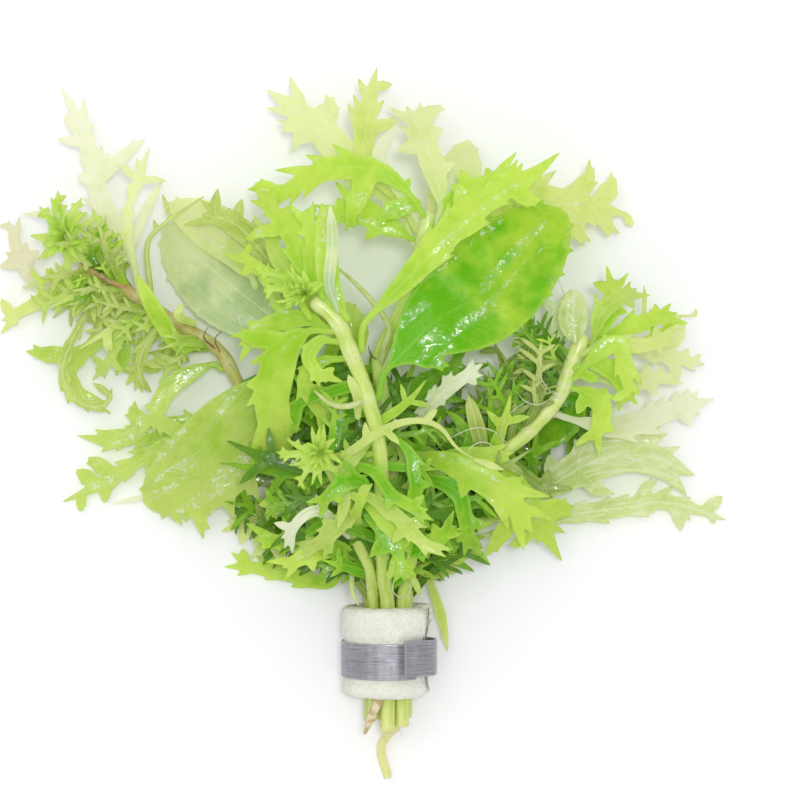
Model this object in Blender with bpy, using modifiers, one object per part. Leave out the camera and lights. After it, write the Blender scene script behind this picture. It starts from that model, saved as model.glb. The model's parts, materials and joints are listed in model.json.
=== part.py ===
"""A cut bunch of water wisteria lying on its side on a flat surface.

Eight fleshy stems with deeply cut leaves are held together by a rolled strip of foam and a soft metal
strip bent round it. The frame is the bunch's own: +Z up, +Y from the cut ends to the leaf tips, origin on
the surface under the middle of the metal strip. Lengths in the tables below are millimetres, and the
tables count +Y from BAND_LEVEL below the middle of the strip.
"""

import math
from dataclasses import dataclass, field

import bmesh
import bpy
import numpy as np
from mathutils import Matrix
from mathutils.geometry import delaunay_2d_cdt

MM = 0.001
GAP = 0.3
COLLECTION = "water_wisteria_bunch"

# Roll of foam and its metal strip
ROLL_HEIGHT = 13.0
FOAM_BOTTOM = -7.6
FOAM_TOP = 17.6
FOAM_THICKNESS = 4.6
FOAM_RADIUS = 10.6
FOAM_PINCH = 0.8
BAND_LEVEL = 2.8
BAND_RADIUS = 12.7
BAND_WIDTH = 10.0
BAND_THICKNESS = 0.6
BAND_FOOT = 6.6
BAND_LIFT = 0.95
BAND_SHIFT = 1.1

# Stems
STEM_STEPS = 15
NODE_SWELLING = 0.22
TAIL_START = -18.0
TAIL_THINNING = 0.65

# Leaves
LEAF_THICKNESS = 0.5
PETIOLE_HALF = 0.9
FLANK_ANGLE = 48.0
EDGE_DROOP = 0.008
CLEARANCE = 1.5
SURFACE_CLEARANCE = 0.45
CELL = 1.5
KEY_STRIDE = 10000
SETTLE_ROUNDS = 400
FIXED_SHARE = 0.04
OWN_STEM_SHARE = 0.35
SHORTEST_EDGE = 0.35


@dataclass(frozen=True)
class Stem:
    """A stem: its radius and the points its middle line runs through, cut end first."""

    name: str
    radius: float
    points: list


@dataclass(frozen=True)
class Leaf:
    """A leaf: the stem it grows from, its midrib seen from above, from near the stem to the tip, the
    heights that pull its middle and its tip, its half width, and the tips of its lobes with their half
    width. Its side is 1 where it grows from the stem's upper flank, -1 from the lower and 0 halfway up.
    It is widest at this share of its blade."""

    name: str
    stem: str
    form: str
    path: list
    heights: tuple
    half: float
    lobe_half: float = 2.0
    lobes: list = field(default_factory=list)
    side: int = 0
    widest: float = 0.44


@dataclass(frozen=True)
class Rosette:
    """A shoot's tip: young leaves spread like a star from the end of a stem, to the tips given."""

    name: str
    stem: str
    centre: tuple
    rise: float
    rays: list


STEMS = [
    Stem("stem_1", 2.1, [(0, -17, 18), (0, 16, 18), (-1, 26.5, 22), (-1.5, 39.5, 30), (-2, 61.5, 38),
                         (-5.5, 76.5, 42), (-10, 88.5, 44), (-14, 97, 45), (-20, 102, 45)]),
    Stem("stem_2", 2.0, [(0, -19, 13), (0, 16, 13), (1, 29, 17), (1.5, 41.5, 19), (0.5, 64, 24),
                         (-1, 75, 26), (-2.5, 85.5, 28), (0.5, 93, 30), (3.5, 99, 31), (8.5, 112.5, 32),
                         (11.5, 126.5, 32)]),
    Stem("stem_3", 2.0, [(4, -16, 16), (4, 16, 16), (7, 29, 19), (12.5, 39, 20), (21.5, 51.5, 22),
                         (31, 60, 24), (39, 66.5, 25), (47, 76, 26), (51.5, 87.5, 26), (54.5, 93, 26)]),
    Stem("stem_4", 1.8, [(-5, -15, 12), (-5, 16, 12), (-8, 28.5, 11), (-12, 38.5, 10), (-25, 52.5, 9),
                         (-37.5, 66.5, 9), (-42.5, 80.5, 9), (-48.5, 90, 10), (-58.5, 96, 12),
                         (-73.5, 106, 13), (-86.5, 113, 13)]),
    Stem("stem_5", 1.7, [(-4, -14, 16), (-4, 16, 16), (-5, 28, 22), (-8.5, 36.5, 26), (-13, 50.5, 32),
                         (-17, 59.5, 36)]),
    Stem("stem_6", 1.9, [(5, -14, 12), (5, 16, 12), (7, 26, 11), (14, 33, 10), (26, 40, 9), (43, 49, 8),
                         (60, 57.5, 8)]),
    Stem("stem_7", 1.8, [(-2, -15, 8.5), (-2, 16, 8.5), (-3.5, 25.5, 7), (-13.5, 33, 6), (-29, 47, 5.5),
                         (-42, 62.5, 6)]),
    Stem("stem_8", 1.8, [(0, -32.5, 1.8), (-2, -24, 3.2), (0.8, -18.5, 7.0), (2.2, -14, 8.5), (2.2, 16, 8.5),
                         (1.5, 26, 10), (-2, 47, 13), (-9, 69.5, 16), (-19, 83.5, 17), (-27, 94.5, 18),
                         (-35, 111, 19)]),
]

LEAVES = [
    Leaf("leaf_top_left", "stem_2", "lobed",
         [(9.5, 117), (2, 130.5), (-8.5, 138.5), (-19.5, 151), (-34.5, 163)], (26, 8), 4.5, 2.3,
         [(-30, 150.5), (-27, 146.5), (-24.5, 162), (-18.5, 158), (-16.5, 154.5), (-15, 160, 2.8)], side=-1),
    Leaf("leaf_top_folded", "stem_2", "lobed",
         [(10.5, 121.5), (2, 131.5), (-6, 141), (-5.5, 154.5), (-3, 169)], (30, 10), 3.8, 1.8,
         [(1.5, 163.5), (-7.5, 157.5), (3, 152.5)]),
    Leaf("leaf_top_centre", "stem_2", "lobed",
         [(12, 124.5), (14.5, 130), (11, 144), (5, 158)], (34, 12), 4.3, 2.3,
         [(11.5, 157), (15, 157.5), (15.5, 150.5), (2.5, 144), (18.5, 140)], side=1),
    Leaf("leaf_top_back", "stem_2", "ovate",
         [(11.5, 121), (18.5, 133), (23, 148.5)], (20, 6), 7),
    Leaf("leaf_top_arched", "stem_2", "lobed",
         [(11.5, 126), (5, 132), (-2, 137), (-14.5, 138.5), (-26, 133.5), (-32.5, 127.5)], (38, 22), 4, 2.7,
         [(-11.5, 121), (-9.5, 129), (-3, 124.5), (-37, 135), (6, 135.5)], side=1),
    Leaf("leaf_upright", "stem_1", "strip",
         [(-13, 97), (-15, 104.5), (-16.5, 115.5), (-17.5, 128.5)], (48, 40), 3.2, 1.6,
         [(-14.5, 127), (-13, 117)], side=1),
    Leaf("leaf_fine_top", "stem_1", "lobed",
         [(-18.5, 101), (-22.5, 110), (-25.5, 118), (-31.5, 127), (-37, 134)], (44, 26), 3, 1.7,
         [(-39.5, 118.5), (-26, 128), (-23.5, 126.5), (-18.5, 128.5), (-34, 125), (-34, 119.5)], side=-1),
    Leaf("leaf_long_right", "stem_1", "lobed",
         [(-9.5, 88.5), (-6.5, 95), (-2, 100), (6, 108), (16.5, 120), (27.5, 129.5), (38.5, 135.5),
          (47.5, 143)],
         (50, 32), 5, 2.6, [(19, 133.5), (23.5, 134), (30, 136), (34, 134), (40.5, 127.5)]),
    Leaf("leaf_broad_right", "stem_1", "serrate",
         [(-6, 75.5), (-1, 82), (3, 86.5), (13.5, 96.5), (24.5, 103), (33.5, 112), (42, 120.5),
          (48.5, 126.5)],
         (46, 26), 14, 2.5, [(17, 84), (30, 91, 3)], widest=0.56),
    Leaf("leaf_right_top", "stem_2", "lobed",
         [(10.5, 117), (22.5, 125), (37, 130.5), (52.5, 129.5), (69, 127.5)], (24, 5), 5.5, 2.8,
         [(58, 140.5), (64.5, 138), (69.5, 124), (62.5, 121), (54.5, 118), (52.5, 136)], side=-1),
    Leaf("leaf_pale_upright", "stem_3", "lobed",
         [(47, 77), (45.3, 83), (45.5, 93), (46.5, 103)], (22, 16), 4, 2.6,
         [(41.5, 97), (40.5, 90.5), (42, 83.5), (50, 94.5)]),
    Leaf("leaf_folded_right", "stem_3", "lobed",
         [(54.5, 93), (59, 95.5), (61.5, 101.5), (63.5, 109)], (30, 18), 3.6, 2.2,
         [(56.5, 107.5), (66, 99)], side=1),
    Leaf("leaf_needle_right", "stem_3", "fine",
         [(53.5, 90.5), (63, 94), (75, 98), (88.5, 99)], (20, 6), 1.2, 0.7,
         [(87, 101), (71.5, 108), (73.5, 101), (78.5, 95)], side=-1),
    Leaf("leaf_pale_right", "stem_3", "lobed",
         [(51.5, 86), (60, 89.5), (68, 90.5), (79, 87.5), (90.5, 85)], (18, 4), 3.2, 2.2,
         [(85, 90), (88.5, 88.5), (81.5, 80), (84, 98)], side=-1),
    Leaf("leaf_pale_low_right", "stem_3", "lobed",
         [(45, 72.5), (54, 69), (65, 67.5), (79.5, 72), (93.5, 75.5)], (14, 2), 4.3, 2.2,
         [(82, 78), (85, 78.5), (86, 67.5), (74, 75.5)], side=-1),
    Leaf("leaf_hanging_right", "stem_3", "lobed",
         [(50, 83), (56, 86.5), (63, 90.5), (65, 83.5), (66.5, 75)], (34, 22), 3.2, 1.7,
         [(61.5, 75), (58, 80), (67, 88)], side=1),
    Leaf("leaf_bright_right", "stem_3", "lobed",
         [(48.5, 79.5), (54, 77.5), (59, 73.5), (58.5, 68), (56.5, 63.5)], (28, 14), 3.7, 2.2,
         [(52, 71), (63, 66.5), (61, 78.5)]),
    Leaf("leaf_dark_right", "stem_3", "ovate",
         [(47, 76), (51.5, 74), (48.5, 68.5), (41, 62)], (16, 12), 4.8, side=-1),
    Leaf("leaf_striped_right", "stem_6", "lobed",
         [(34, 43.5), (44.5, 50.5), (57, 57.5), (71.5, 59.5), (87.5, 53.5)], (12, 2), 5.5, 2.7,
         [(45, 60), (54, 65), (73, 65), (78, 59.5), (61, 47.5)]),
    Leaf("leaf_long_low", "stem_6", "lobed",
         [(26, 39.5), (44.5, 41.5), (66, 44.5), (80, 46), (97.5, 40.5)], (5, 1), 3.4, 1.8,
         [(75, 53), (83.5, 37.5), (95.5, 48), (93, 39.5), (63, 48)]),
    Leaf("leaf_bright_low_right", "stem_2", "lobed",
         [(1, 56.5), (8.5, 57.5), (19.5, 59.5), (29.5, 57.5), (36.5, 49), (43.5, 38.5), (49.5, 29)],
         (36, 6), 4.8, 2.6, [(52, 45.5, 3.5), (26, 30.5), (35, 33.5), (16, 51.5)]),
    Leaf("leaf_thin_arched", "stem_5", "fine",
         [(-16.5, 58.5), (-11, 60.5), (-3, 66), (3.5, 69), (9.5, 69.5), (14.5, 67.5), (19, 62), (26.5, 57.5)],
         (50, 34), 1.2, 1, [(-6, 69.5), (3.5, 63), (13.5, 73), (32, 56)]),
    Leaf("leaf_silver", "stem_2", "lobed",
         [(0, 67), (8, 70.5), (14.5, 76.5), (26.5, 85.5)], (34, 34), 2.7, 1.6,
         [(11, 78), (15, 82), (24.5, 79), (16, 73.5)]),
    Leaf("leaf_dark_centre", "stem_2", "lobed",
         [(-0.5, 74.5), (5.5, 75.5), (13.5, 79), (21, 85.5)], (18, 18), 6.5, 2.5, [(9, 83), (16, 69.5)]),
    Leaf("leaf_narrow_right", "stem_3", "strip",
         [(28, 57.5), (25.5, 64), (22, 76.5)], (32, 30), 2.2),
    Leaf("leaf_fine_right", "stem_3", "fine",
         [(39, 67), (35.5, 75), (32, 85), (29.5, 92.5)], (16, 14), 1.5, 1.1,
         [(25.5, 88.5), (24.5, 79.5), (27, 72.5), (39.5, 88.5), (43.5, 83), (43.5, 75.5)]),
    Leaf("leaf_bright_left", "stem_1", "lobed",
         [(-13, 95), (-21, 93.5), (-27.5, 88.5), (-31.5, 75), (-31, 57)], (40, 22), 6.5, 2.6,
         [(-41, 92.5), (-35, 64), (-23.5, 67), (-38.5, 79)]),
    Leaf("leaf_left_narrow", "stem_1", "lobed",
         [(-10, 87), (-17.5, 85.5), (-22.5, 80.5), (-19.5, 73.5), (-15, 67.5)], (36, 30), 2.8, 2.1,
         [(-16.5, 79)], side=-1),
    Leaf("leaf_broad_left", "stem_8", "serrate",
         [(-23, 89), (-31, 81), (-38, 72.5), (-51, 57), (-68.5, 46)], (22, 2), 12.5, 2.7,
         [(-60, 40.5), (-52, 35.5), (-43, 41), (-35.5, 46)], widest=0.56),
    Leaf("leaf_left_branch", "stem_4", "lobed",
         [(-45, 86), (-50, 85), (-59.5, 80), (-64.5, 73.5), (-66, 66)], (16, 8), 3.6, 2.4,
         [(-54.5, 65), (-68.5, 73.5)]),
    Leaf("leaf_left_dark", "stem_7", "lobed",
         [(-41, 61), (-54.5, 68), (-67.5, 66.5), (-77.5, 63.5), (-89, 65)], (7, 2), 3.4, 2.4,
         [(-73.5, 73.5), (-79.5, 66.5), (-77, 60.5), (-67.5, 72.5), (-63, 62.5)]),
    Leaf("leaf_left_low", "stem_7", "lobed",
         [(-35.5, 54), (-46, 62.5), (-59, 64), (-73, 56.5), (-83, 50.5), (-94, 45.5)], (9, 1), 2.6, 2.3,
         [(-85.5, 59), (-89, 55.5), (-87.5, 43), (-80.5, 45.5)]),
    Leaf("leaf_low", "stem_7", "lobed",
         [(-10.5, 30.5), (-16.5, 23), (-28, 25.5), (-39.5, 27.5), (-47, 27.5)], (3, 1), 2.8, 2.5,
         [(-41.5, 33), (-33.5, 33)]),
    Leaf("leaf_low_yellow", "stem_4", "lobed",
         [(-18.5, 46), (-27.5, 43.5), (-35.5, 40.5), (-46, 41)], (12, 5), 2.9, 2.6,
         [(-41.5, 34), (-36, 31), (-30, 28.5), (-24.5, 32.5)]),
    Leaf("leaf_white_underside", "stem_5", "lobed",
         [(-12.5, 48.5), (-21.5, 51.5), (-25, 43), (-29, 33)], (24, 10), 2.2, 1.6,
         [(-19, 41), (-31, 44), (-24, 51)]),
    Leaf("leaf_centre_low", "stem_5", "lobed",
         [(-12, 46.5), (-5, 46), (2, 39.5), (9.5, 34), (17.5, 30.5)], (50, 12), 2.7, 1.7,
         [(-0.5, 25), (4.5, 25.5), (11.5, 37.5), (22, 30)]),
    Leaf("leaf_low_right_pale", "stem_6", "lobed",
         [(8.5, 28), (13, 26), (18.5, 28.5), (23, 32.5)], (4, 2), 2.8, 2,
         [(12.5, 25.5), (19, 25.5), (17, 2.5, 1.5)]),
    Leaf("leaf_broad_grey", "stem_8", "serrate",
         [(-26.5, 94), (-31, 97), (-43, 106.5), (-54.5, 116), (-63.5, 124)], (13, 3), 12.5, side=-1),
    Leaf("leaf_broad_back", "stem_8", "ovate",
         [(-34, 109), (-41.5, 118), (-52, 125.5), (-63, 131)], (7, 1), 7),
    Leaf("leaf_olive", "stem_8", "lobed",
         [(-34.5, 110), (-36, 117.5), (-42.5, 124), (-52.5, 127.5)], (22, 12), 4, 1.6,
         [(-40.5, 131.5), (-44, 129), (-47.5, 134.5)]),
    Leaf("leaf_sprig_tall", "stem_4", "lobed",
         [(-70.5, 104.5), (-71.5, 115), (-75, 123), (-80, 130), (-83, 141.5), (-87, 153), (-93, 164.5)],
         (14, 5), 2.5, 1.6,
         [(-87.5, 138), (-93.5, 148.5), (-83, 153.5), (-77.5, 144.5), (-68, 149, 2), (-62.5, 138),
          (-104, 127.5, 2), (-82, 116)], side=1),
    Leaf("leaf_sprig_thin", "stem_4", "fine",
         [(-68, 102.5), (-67.5, 118.5), (-63.5, 124), (-57.5, 128.5), (-48, 135)], (14, 10), 0.8, 0.6,
         [(-66, 126), (-64, 134)]),
    Leaf("leaf_sprig_pink", "stem_4", "lobed",
         [(-87, 112.5), (-93.5, 109), (-98.5, 108), (-104, 116), (-108, 126.5)], (10, 3), 2.8, 1.7,
         [(-110.5, 124.5), (-110, 112.5), (-98.5, 117.5)]),
    Leaf("leaf_sprig_yellow", "stem_4", "lobed",
         [(-85, 111.5), (-94, 106), (-101.5, 101.5), (-110.5, 97.5)], (8, 2), 2.5, 1.6,
         [(-105.5, 96), (-110, 104), (-96.5, 112.5)], side=-1),
    Leaf("leaf_sprig_curled", "stem_4", "lobed",
         [(-65.5, 100.5), (-74, 95), (-83, 91), (-90, 83), (-86.5, 76), (-78.5, 71)], (8, 2), 2.5, 2.5,
         [(-103, 89), (-79, 71.5), (-74.5, 83), (-93, 77.5)], side=-1),
    Leaf("leaf_sprig_hanging", "stem_4", "lobed",
         [(-61, 98), (-64.5, 94), (-69.5, 90), (-72, 79.5)], (10, 4), 2.3, 1.7,
         [(-64, 83.5), (-69.5, 81.5), (-76, 84)]),
    Leaf("leaf_sprig_front", "stem_4", "strip",
         [(-53, 92.5), (-58.5, 90.5), (-65, 100.5), (-70, 110.5)], (20, 20), 2.5, 1.5,
         [(-52.5, 88.5)], side=1),
]

ROSETTES = [
    Rosette("shoot_tip_left", "stem_1", (-22, 103.5), 3,
            [(-37, 111.5, 1.5), (-34, 109, 1.5), (-31, 107, 1.5), (-16.5, 106.5, 1.5), (-22.5, 110, 2),
             (-25.5, 112, 1.5), (-27.5, 99, 1.5)]),
    Rosette("shoot_tip_centre", "stem_5", (-18, 61), 2,
            [(-27.5, 65, 1.5), (-27, 57.5, 1.5), (-24.5, 51, 1.5), (-20.5, 68.5, 1.5), (-17, 69, 1.5),
             (-13.5, 65, 1.5), (-11.5, 54, 1.5), (-17.5, 51.5, 1.5), (-31, 61, 1.5)]),
    Rosette("shoot_tip_sprig", "stem_4", (-90, 120), 2,
            [(-92, 134, 2.5), (-85, 132, 2), (-78.5, 127, 1.5), (-77, 120, 1.5), (-81.5, 112, 2),
             (-90, 107.5, 2), (-98, 113.5, 2), (-100, 121, 2.5), (-97.5, 129.5, 2)]),
]


def smooth_line(points, count):
    """Evenly spaced points on a smooth curve through the given ones."""
    given = np.array(points, float)
    ends = np.vstack([2 * given[0] - given[1], given, 2 * given[-1] - given[-2]])
    fine = []
    for a, b, c, d in zip(ends, ends[1:], ends[2:], ends[3:]):
        for t in np.linspace(0, 1, 12, endpoint=False):
            square = (2 * a - 5 * b + 4 * c - d) * t**2
            cube = (3 * b - 3 * c + d - a) * t**3
            fine.append(0.5 * (2 * b + (c - a) * t + square + cube))
    fine.append(given[-1])
    fine = np.array(fine)
    along = np.concatenate([[0], np.cumsum(np.linalg.norm(np.diff(fine, axis=0), axis=1))])
    wanted = np.linspace(0, along[-1], count)
    return np.array([np.interp(wanted, along, fine[:, k]) for k in range(fine.shape[1])]).T


def blade_outline(line, halves):
    """The outline of a blade: the line's points set off to its right and back down its left."""
    along = np.gradient(line, axis=0)
    along /= np.linalg.norm(along, axis=1)[:, None]
    across = np.stack([along[:, 1], -along[:, 0]], axis=1)
    halves = np.asarray(halves)[:, None]
    right = line + across * halves
    left = line - across * halves
    if halves[-1] < 1e-6:
        return np.vstack([right, left[-2::-1]])
    return np.vstack([right, left[::-1]])


def blade_halves(form, half, shares, widest):
    """Half widths of a leaf's main blade at these shares of its length."""
    start = {"lobed": 0.16, "serrate": 0.14, "ovate": 0.12, "strip": 0.08, "fine": 0.0}[form]
    body = np.clip((shares - start) / (1 - start), 0, 1)
    if form == "fine":
        swell = np.clip(1.4 * (1 - body), 0, 1) ** 0.6
        return half * swell
    power = {"lobed": 0.6, "serrate": 0.7, "ovate": 0.7, "strip": 0.5}[form]
    swell = np.sin(math.pi * body ** (math.log(0.5) / math.log(widest))) ** power
    neck = np.clip((1 - body) * 6, 0, 1)
    halves = PETIOLE_HALF * neck + (half - PETIOLE_HALF) * swell
    if form == "serrate":
        teeth = np.where(np.arange(len(shares)) % 2 == 0, 1.0, 0.9)
        halves = halves * np.where((body > 0.08) & (body < 0.95), teeth, 1.0)
    return halves


def union_outline(polygons):
    """The outer outline of overlapping polygons, without points too close to tell apart."""
    points, loops = [], []
    for polygon in polygons:
        loops.append(list(range(len(points), len(points) + len(polygon))))
        points.extend((float(x), float(y)) for x, y in polygon)
    verts, _, faces, _, _, origins = delaunay_2d_cdt(points, [], loops, 1, 1e-4, True)
    ends = {}
    for face, origin in zip(faces, origins):
        if not origin:
            continue
        for a, b in zip(face, face[1:] + face[:1]):
            if (b, a) in ends:
                del ends[(b, a)]
            else:
                ends[(a, b)] = True
    following = {}
    for a, b in ends:
        following.setdefault(a, []).append(b)
    best = []
    while following:
        start = next(iter(following))
        loop = [start]
        while following.get(loop[-1]):
            after = following[loop[-1]].pop()
            if after == start:
                break
            loop.append(after)
        for index in loop:
            if index in following and not following[index]:
                del following[index]
        if len(loop) > len(best):
            best = loop
    outline = [np.array(verts[i]) for i in best]
    kept = []
    for point in outline:
        if not kept or np.linalg.norm(point - kept[-1]) > SHORTEST_EDGE:
            kept.append(point)
    while len(kept) > 3 and np.linalg.norm(kept[0] - kept[-1]) <= SHORTEST_EDGE:
        kept.pop()
    return np.array(kept)


def inside_or_near(spots, outline, reach):
    """Which spots lie inside an outline or within a distance of it."""
    after = np.roll(outline, -1, axis=0)
    a, b = outline[None], after[None]
    p = spots[:, None]
    span = b - a
    t = np.clip(((p - a) * span).sum(-1) / np.maximum((span**2).sum(-1), 1e-12), 0, 1)
    near = np.linalg.norm(p - a - span * t[..., None], axis=-1).min(axis=1) <= reach
    crosses = (a[..., 1] > p[..., 1]) != (b[..., 1] > p[..., 1])
    slope = np.where(np.abs(span[..., 1]) < 1e-12, 1e-12, span[..., 1])
    hits = crosses & (p[..., 0] < a[..., 0] + (p[..., 1] - a[..., 1]) * span[..., 0] / slope)
    return near | (hits.sum(axis=1) % 2 == 1)


class StemLine:
    """A stem's middle line, sampled closely, with its radius."""

    def __init__(self, stem):
        self.name = stem.name
        self.radius = stem.radius
        self.line = smooth_line(stem.points, 240)

    def nearest(self, spot):
        """The sample nearest to a spot seen from above, and the direction of the stem there."""
        index = int(np.argmin(np.linalg.norm(self.line[:, :2] - spot, axis=1)))
        ahead = self.line[min(index + 2, len(self.line) - 1)] - self.line[max(index - 2, 0)]
        return self.line[index], ahead / np.linalg.norm(ahead)


class Sheet:
    """A thin leaf over the plan: an outline, a middle line and three heights that shape it."""

    def __init__(self, name):
        self.name = name
        self.outline = None
        self.axis = None
        self.base_height = 0.0
        self.heights = np.zeros(3)
        self.stem = None

    def place(self, spots):
        """Share of the length and distance to the side for each spot seen from above."""
        step = self.fine[1:] - self.fine[:-1]
        p = spots[:, None]
        t = ((p - self.fine[None, :-1]) * step).sum(-1) / (step**2).sum(-1)
        t = np.clip(t, 0, 1)
        away = np.linalg.norm(p - self.fine[None, :-1] - step[None] * t[..., None], axis=-1)
        index = away.argmin(axis=1)
        rows = np.arange(len(spots))
        share = (index + t[rows, index]) / (len(self.fine) - 1)
        return share, away[rows, index]

    def weights(self, share):
        """How far each of the three heights moves the sheet at these shares of its length."""
        return np.stack([3 * share * (1 - share) ** 2, 3 * share**2 * (1 - share), share**3], axis=-1)

    def height(self, spots):
        """Height of the sheet's middle surface at spots seen from above."""
        share, away = self.place(spots)
        return self.fixed(share, away) + self.weights(share) @ self.heights

    def fixed(self, share, away):
        """The part of the height that the base and the drooping edges set."""
        return self.base_height * (1 - share) ** 3 - EDGE_DROOP * away**2


class LeafSheet(Sheet):
    """The sheet of one leaf, grown from its stem."""

    def __init__(self, leaf, stems):
        super().__init__(leaf.name)
        self.stem = stems[leaf.stem]
        start, along = self.stem.nearest(np.array(leaf.path[0], float))
        toward = np.array(leaf.path[1], float) - start[:2]
        flat = along[:2] / np.linalg.norm(along[:2])
        side = toward - flat * (toward @ flat)
        side /= np.linalg.norm(side)
        lean = abs(toward @ flat) / np.linalg.norm(toward)
        reach = self.stem.radius * (1 + NODE_SWELLING) + GAP
        flank = math.radians(FLANK_ANGLE) * leaf.side
        base = start[:2] + side * (reach * math.cos(flank) + PETIOLE_HALF * lean)
        line = smooth_line([base, *leaf.path[1:]], 60)
        self.fine = line
        root = start[2] + reach * math.sin(flank)
        self.base_height = root
        middle, tip = leaf.heights
        self.heights = np.array([root + (middle - root) * 2 / 3, tip + (middle - tip) * 2 / 3, tip])
        steps = {"lobed": 8, "serrate": 17, "ovate": 9, "strip": 7, "fine": 6}[leaf.form]
        shares = np.linspace(0, 1, steps)
        spine = smooth_line(line, steps)
        polygons = [blade_outline(spine, blade_halves(leaf.form, leaf.half, shares, leaf.widest))]
        for tip_x, tip_y, *own in leaf.lobes:
            end = np.array([tip_x, tip_y], float)
            polygons.append(self.lobe(end, own[0] if own else leaf.lobe_half))
        self.outline = union_outline(polygons)
        self.spine = smooth_line(line, 6)[1:-1]

    def lobe(self, end, half):
        """The outline of a lobe that leaves the midrib behind its tip and leans forward to it."""
        away = np.linalg.norm(self.fine - end, axis=1)
        index = int(away.argmin())
        pace = np.linalg.norm(self.fine[1] - self.fine[0])
        foot = max(int(index - 0.6 * away[index] / pace), 2)
        start = self.fine[foot]
        line = start + (end - start) * np.array([0, 0.3, 0.62, 1.0])[:, None]
        return blade_outline(line, half * np.array([0.7, 0.9, 1.0, 0.0]))


class RosetteSheet(Sheet):
    """The sheet of a shoot's tip, spread from the end of its stem."""

    def __init__(self, rosette, stems):
        super().__init__(rosette.name)
        self.stem = stems[rosette.stem]
        self.centre = np.array(rosette.centre, float)
        top = self.stem.line[-1][2] + self.stem.radius + GAP + LEAF_THICKNESS
        self.base_height = top
        self.heights = np.array([top + rosette.rise, top + rosette.rise, top])
        polygons = []
        self.reach = 0.0
        for tip_x, tip_y, half in rosette.rays:
            end = np.array([tip_x, tip_y], float)
            self.reach = max(self.reach, float(np.linalg.norm(end - self.centre)))
            start = self.centre - 0.12 * (end - self.centre)
            line = start + (end - start) * np.array([0, 0.4, 0.7, 1.0])[:, None]
            polygons.append(blade_outline(line, half * np.array([0.8, 0.9, 1.0, 0.0])))
        self.outline = union_outline(polygons)
        self.spine = self.centre[None]

    def place(self, spots):
        """Share of the reach from the centre; a rosette has no side."""
        share = np.clip(np.linalg.norm(spots - self.centre, axis=1) / self.reach, 0, 1)
        return share, np.zeros(len(spots))


def plan_cells(outline, reach):
    """Whole-number cells of the plan grid that an outline covers, and their middles."""
    low = np.floor((outline.min(axis=0) - reach) / CELL).astype(int)
    high = np.ceil((outline.max(axis=0) + reach) / CELL).astype(int)
    across, up = np.meshgrid(np.arange(low[0], high[0] + 1), np.arange(low[1], high[1] + 1))
    cells = np.stack([across.ravel(), up.ravel()], axis=1)
    keep = inside_or_near(cells * CELL, outline, reach)
    return cells[keep]


def settle(sheets, stems):
    """Lifts and lowers the leaves until each pair that crosses, seen from above, lies clear of the other.

    Which of two leaves is on top follows from the heights they start with. A stem never moves.
    """
    covered = {}
    for sheet in sheets:
        cells = plan_cells(sheet.outline, 0.9)
        share, away = sheet.place(cells * CELL)
        keys = cells[:, 0] * KEY_STRIDE + cells[:, 1]
        order = np.argsort(keys)
        covered[sheet.name] = (keys[order], share[order], away[order])
    rules = []
    for sheet in sheets:
        keys, share, away = covered[sheet.name]
        across = np.round(keys / KEY_STRIDE)
        spots = np.stack([across, keys - across * KEY_STRIDE], axis=1) * CELL
        weights = sheet.weights(share)
        fixed = sheet.fixed(share, away)
        rules.append((sheet, None, weights, None, fixed - SURFACE_CLEARANCE - LEAF_THICKNESS / 2, 1.0, 0.0))
        for stem in stems.values():
            reach = stem.radius * (1 + NODE_SWELLING) + 0.7
            apart = np.linalg.norm(spots[:, None] - stem.line[None, :, :2], axis=-1)
            index = apart.argmin(axis=1)
            near = apart[np.arange(len(spots)), index] < reach
            near &= (weights**2).sum(axis=1) > FIXED_SHARE
            if stem is sheet.stem:
                near &= share > OWN_STEM_SHARE
            if not near.any():
                continue
            level = stem.line[index[near], 2]
            gap = stem.radius * (1 + NODE_SWELLING) + CLEARANCE
            apart_now = fixed[near] + weights[near] @ sheet.heights - level
            sign = 1.0 if apart_now.mean() > 0 else -1.0
            rules.append((sheet, None, weights[near], None, fixed[near] - level, sign, gap))
    for i, first in enumerate(sheets):
        for second in sheets[i + 1:]:
            keys, one, two = np.intersect1d(
                covered[first.name][0], covered[second.name][0], assume_unique=True, return_indices=True
            )
            if not len(keys):
                continue
            share_1, away_1 = covered[first.name][1][one], covered[first.name][2][one]
            share_2, away_2 = covered[second.name][1][two], covered[second.name][2][two]
            weights_1, weights_2 = first.weights(share_1), second.weights(share_2)
            free = (weights_1**2).sum(axis=1) + (weights_2**2).sum(axis=1) > FIXED_SHARE
            if not free.any():
                continue
            weights_1, weights_2 = weights_1[free], weights_2[free]
            fixed = first.fixed(share_1[free], away_1[free]) - second.fixed(share_2[free], away_2[free])
            apart_now = fixed + weights_1 @ first.heights - weights_2 @ second.heights
            sign = 1.0 if apart_now.mean() > 0 else -1.0
            rules.append((first, second, weights_1, weights_2, fixed, sign, CLEARANCE))
    for _ in range(SETTLE_ROUNDS):
        worst = 0.0
        for first, second, weights_1, weights_2, fixed, sign, gap in rules:
            apart = fixed + weights_1 @ first.heights
            if second is not None:
                apart = apart - weights_2 @ second.heights
            short = gap - sign * apart
            k = int(short.argmax())
            if short[k] <= 0.02:
                continue
            pull = (weights_1[k] ** 2).sum()
            if second is not None:
                pull += (weights_2[k] ** 2).sum()
            worst = max(worst, short[k])
            move = sign * min(short[k], 4.0) / pull
            first.heights = first.heights + move * weights_1[k]
            if second is not None:
                second.heights = second.heights - move * weights_2[k]
        if worst == 0.0:
            break
    return worst


def build_sheets():
    """Every leaf and shoot tip as a settled sheet."""
    stems = {stem.name: StemLine(stem) for stem in STEMS}
    sheets = [LeafSheet(leaf, stems) for leaf in LEAVES]
    sheets += [RosetteSheet(rosette, stems) for rosette in ROSETTES]
    print("settled to within", round(settle(sheets, stems), 2), "mm")
    return sheets


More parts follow.
